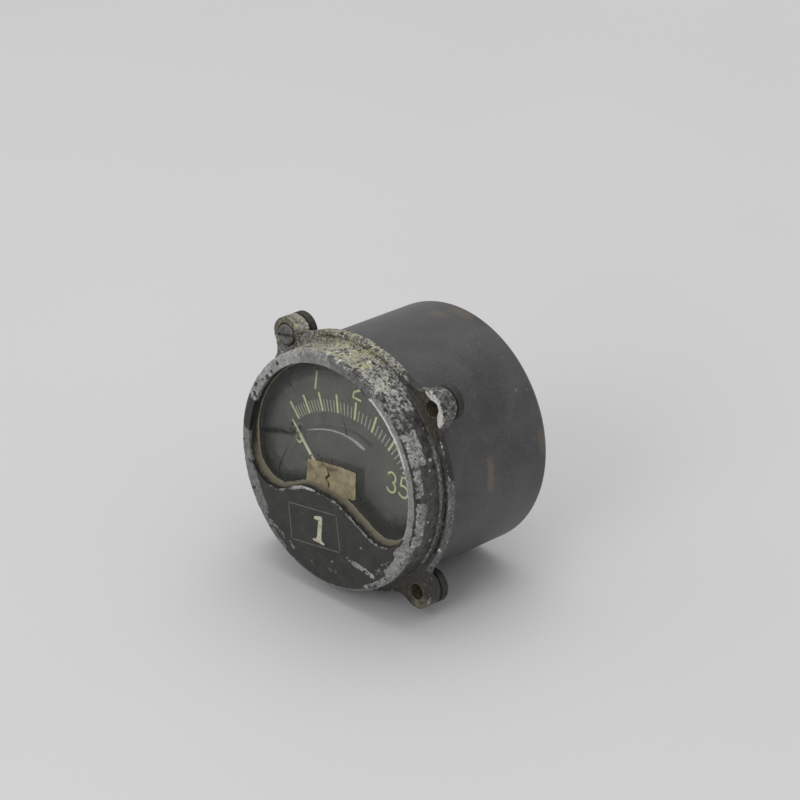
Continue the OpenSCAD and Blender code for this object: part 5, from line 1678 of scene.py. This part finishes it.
def threaded_stud(node, pitch, thread_from):
    """The terminal stud with a real helical thread on the part that stands out of its nut."""
    low, high = corner(node, 0), corner(node, 1)
    centre = (low + high) / 2
    bm = cad_copy(node)
    from_axis = [(v.co.y, math.hypot(v.co.x - centre.x, v.co.z - centre.z)) for v in bm.verts]
    radius = max(away for y, away in from_axis if y > thread_from + 1)
    top = high.y - THREAD_CHAMFER

    def ring(level, radii):
        turns = [2 * math.pi * k / THREAD_AROUND for k in range(THREAD_AROUND)]
        return [bm.verts.new((centre.x + r * math.cos(a), level, centre.z + r * math.sin(a)))
                for a, r in zip(turns, radii)]

    # Everything in front of the thread stays as it is in the frame
    cut = bmesh.ops.bisect_plane(bm, geom=bm.verts[:] + bm.edges[:] + bm.faces[:],
                                 plane_co=(0, thread_from, 0), plane_no=(0, 1, 0), clear_outer=True)
    rim = [g for g in cut["geom_cut"] if isinstance(g, bmesh.types.BMEdge)]
    bmesh.ops.holes_fill(bm, edges=rim)
    verts = []
    for i in range(THREAD_LEVELS + 1):
        level = thread_from + (top - thread_from) * i / THREAD_LEVELS
        fade = max(min(1.0, (level - thread_from) / pitch, (top - level) / pitch), 0)
        waves = [abs(((level / pitch - k / THREAD_AROUND) % 1.0) * 2 - 1) for k in range(THREAD_AROUND)]
        verts += ring(level, [radius - THREAD_DEPTH * pitch * fade * min(1, 1.25 * w) for w in waves])
    verts += ring(high.y, [radius - THREAD_CHAMFER] * THREAD_AROUND)
    for face in tube_faces(THREAD_LEVELS + 2, THREAD_AROUND):
        bm.faces.new([verts[i] for i in face])
    bmesh.ops.recalc_face_normals(bm, faces=bm.faces)
    return settle(piece_from_bmesh(node + "_threaded", bm), node, sharp=50)


# Stage

# Normal of the floor in the part's frame: the gauge lies on its flange and its case's rear edge
FLOOR_NORMAL = Vector((-0.042, -0.06, 0.997)).normalized()
FLOOR_SIZE = 3000
# Camera: its place, the directions to its right and up, and its lens
CAMERA_AT = (508.16, -532.91, 393.03)
CAMERA_RIGHT = Vector((0.70859, 0.70211, 0.07034))
CAMERA_UP = Vector((-0.36307, 0.27730, 0.88954))
CAMERA_LENS = 135.1
# Light: the sky's level, and each lamp's name, place, size and power. All lamps aim at the frame's origin
WORLD_LEVEL = 0.55
LAMPS = [
    ("Overhead softbox", (-250, 250, 1500), 1400, 9.0),
    ("Front key", (150, -1250, 700), 700, 4.5),
]


def make_floor():
    """The floor, under the lowest point of the part."""
    lowest = min(FLOOR_NORMAL.dot(v.co) for o in frame["nodes"].values() for v in o.data.vertices) / MM
    right = FLOOR_NORMAL.cross(Vector((0, 1, 0))).normalized() * -1
    ahead = FLOOR_NORMAL.cross(right)
    half = FLOOR_SIZE / 2
    corners = [FLOOR_NORMAL * lowest + right * across * half + ahead * along * half
               for across, along in ((-1, -1), (1, -1), (1, 1), (-1, 1))]
    floor = piece_from_points("floor", corners, [(0, 1, 2, 3)])
    floor.data.materials.append(floor_material())


def make_light():
    """An even white sky and the lamps."""
    world = bpy.data.worlds.new("Studio")
    bpy.context.scene.world = world
    world.use_nodes = True
    sky = world.node_tree.nodes["Background"].inputs
    sky["Color"].default_value = rgb(1.0, 1.0, 1.0)
    sky["Strength"].default_value = WORLD_LEVEL
    for name, place, size, power in LAMPS:
        lamp = bpy.data.lights.new(name, "AREA")
        lamp.shape = "SQUARE"
        lamp.size = size * MM
        lamp.energy = power
        aim = Vector(place).normalized().to_track_quat("Z", "Y").to_matrix().to_4x4()
        new_piece(name, lamp).matrix_world = Matrix.Translation(Vector(place) * MM) @ aim


def make_camera():
    """The camera where the photograph was taken from."""
    camera = bpy.data.cameras.new("Camera")
    camera.sensor_width = 36
    camera.lens = CAMERA_LENS
    camera.clip_start = 0.01
    camera.clip_end = 20
    eye = new_piece("Camera", camera)
    back = CAMERA_RIGHT.cross(CAMERA_UP).normalized()
    turn = Matrix((CAMERA_RIGHT, CAMERA_UP, back)).transposed().to_4x4()
    eye.matrix_world = Matrix.Translation(Vector(CAMERA_AT) * MM) @ turn
    bpy.context.scene.camera = eye
    bpy.context.scene.view_settings.view_transform = "Standard"


# Nodes that get rounded edges and their slot's material
ROUNDED = ["dial_plate", "pointer", "lug_nuts", "case_screws", "terminal_block", "terminal_washers",
           "terminal_nuts", "zero_screw", "zero_bush", "terminal_insulators"]
# Pitch of the thread on each terminal stud
STUD_PITCH = {"terminal_stud_positive": 0.8, "terminal_stud_negative": 0.7}


def make_glass_marks():
    """Cracks, a bright arc, smears, splinters and scraps of paper on the glass."""
    for crack in CRACKS:
        crack_piece(*crack)
    for name, centre, reach, turn, film in SMEARS:
        smudge(name, centre, reach, math.radians(turn), film_material(*film))
    for name, count, seed, film in SPLINTERS:
        splinters(name, count, seed, film_material(*film))
    scrap = film_material("Label scrap", (0.1, 0.082, 0.045), 0.85)
    for i, (x, z, size, turn) in enumerate(LABEL_SCRAPS):
        smudge("label_scrap_%d" % (i + 1), (x, z), (size, 0.45 * size), math.radians(turn), scrap)


def make_everything():
    """The stage, and every piece of the gauge."""
    make_floor()
    make_light()
    make_camera()
    for node, piece in frame["nodes"].items():
        piece.data.materials.clear()
        piece.data.materials.append(MATERIAL_OF_SLOT[SLOT_OF[node]])
    loop = window_loop()
    bezel = worn_bezel(np.array(loop))
    grains = grown("corrosion_grains", bezel.data.copy(), crumb_tree(), {"Material": CRUMBS})
    settle(grains, slot="bezel_paint", material=CRUMBS)
    settle(bezel, "bezel_casting", sharp=45)
    refined("case_cup", bevel=0, sharp=50)
    refined("cover_glass", bevel=0, sharp=25)
    window_liner(loop)
    dial_shields()
    refined("glass_gasket", material=GREYED)
    refined("pointer_stops", material=GREYED)
    refined("lug_screw", material=WEATHERED)
    for node in ROUNDED:
        refined(node)
    sealing_bead(loop)
    edge_dust_and_painted_light(loop)
    torn_label(loop)
    dial_marks()
    mask_markings()
    make_glass_marks()
    nut_face = corner("terminal_nuts", 1).y
    for node, pitch in STUD_PITCH.items():
        threaded_stud(node, pitch, nut_face - 0.2)


make_everything()
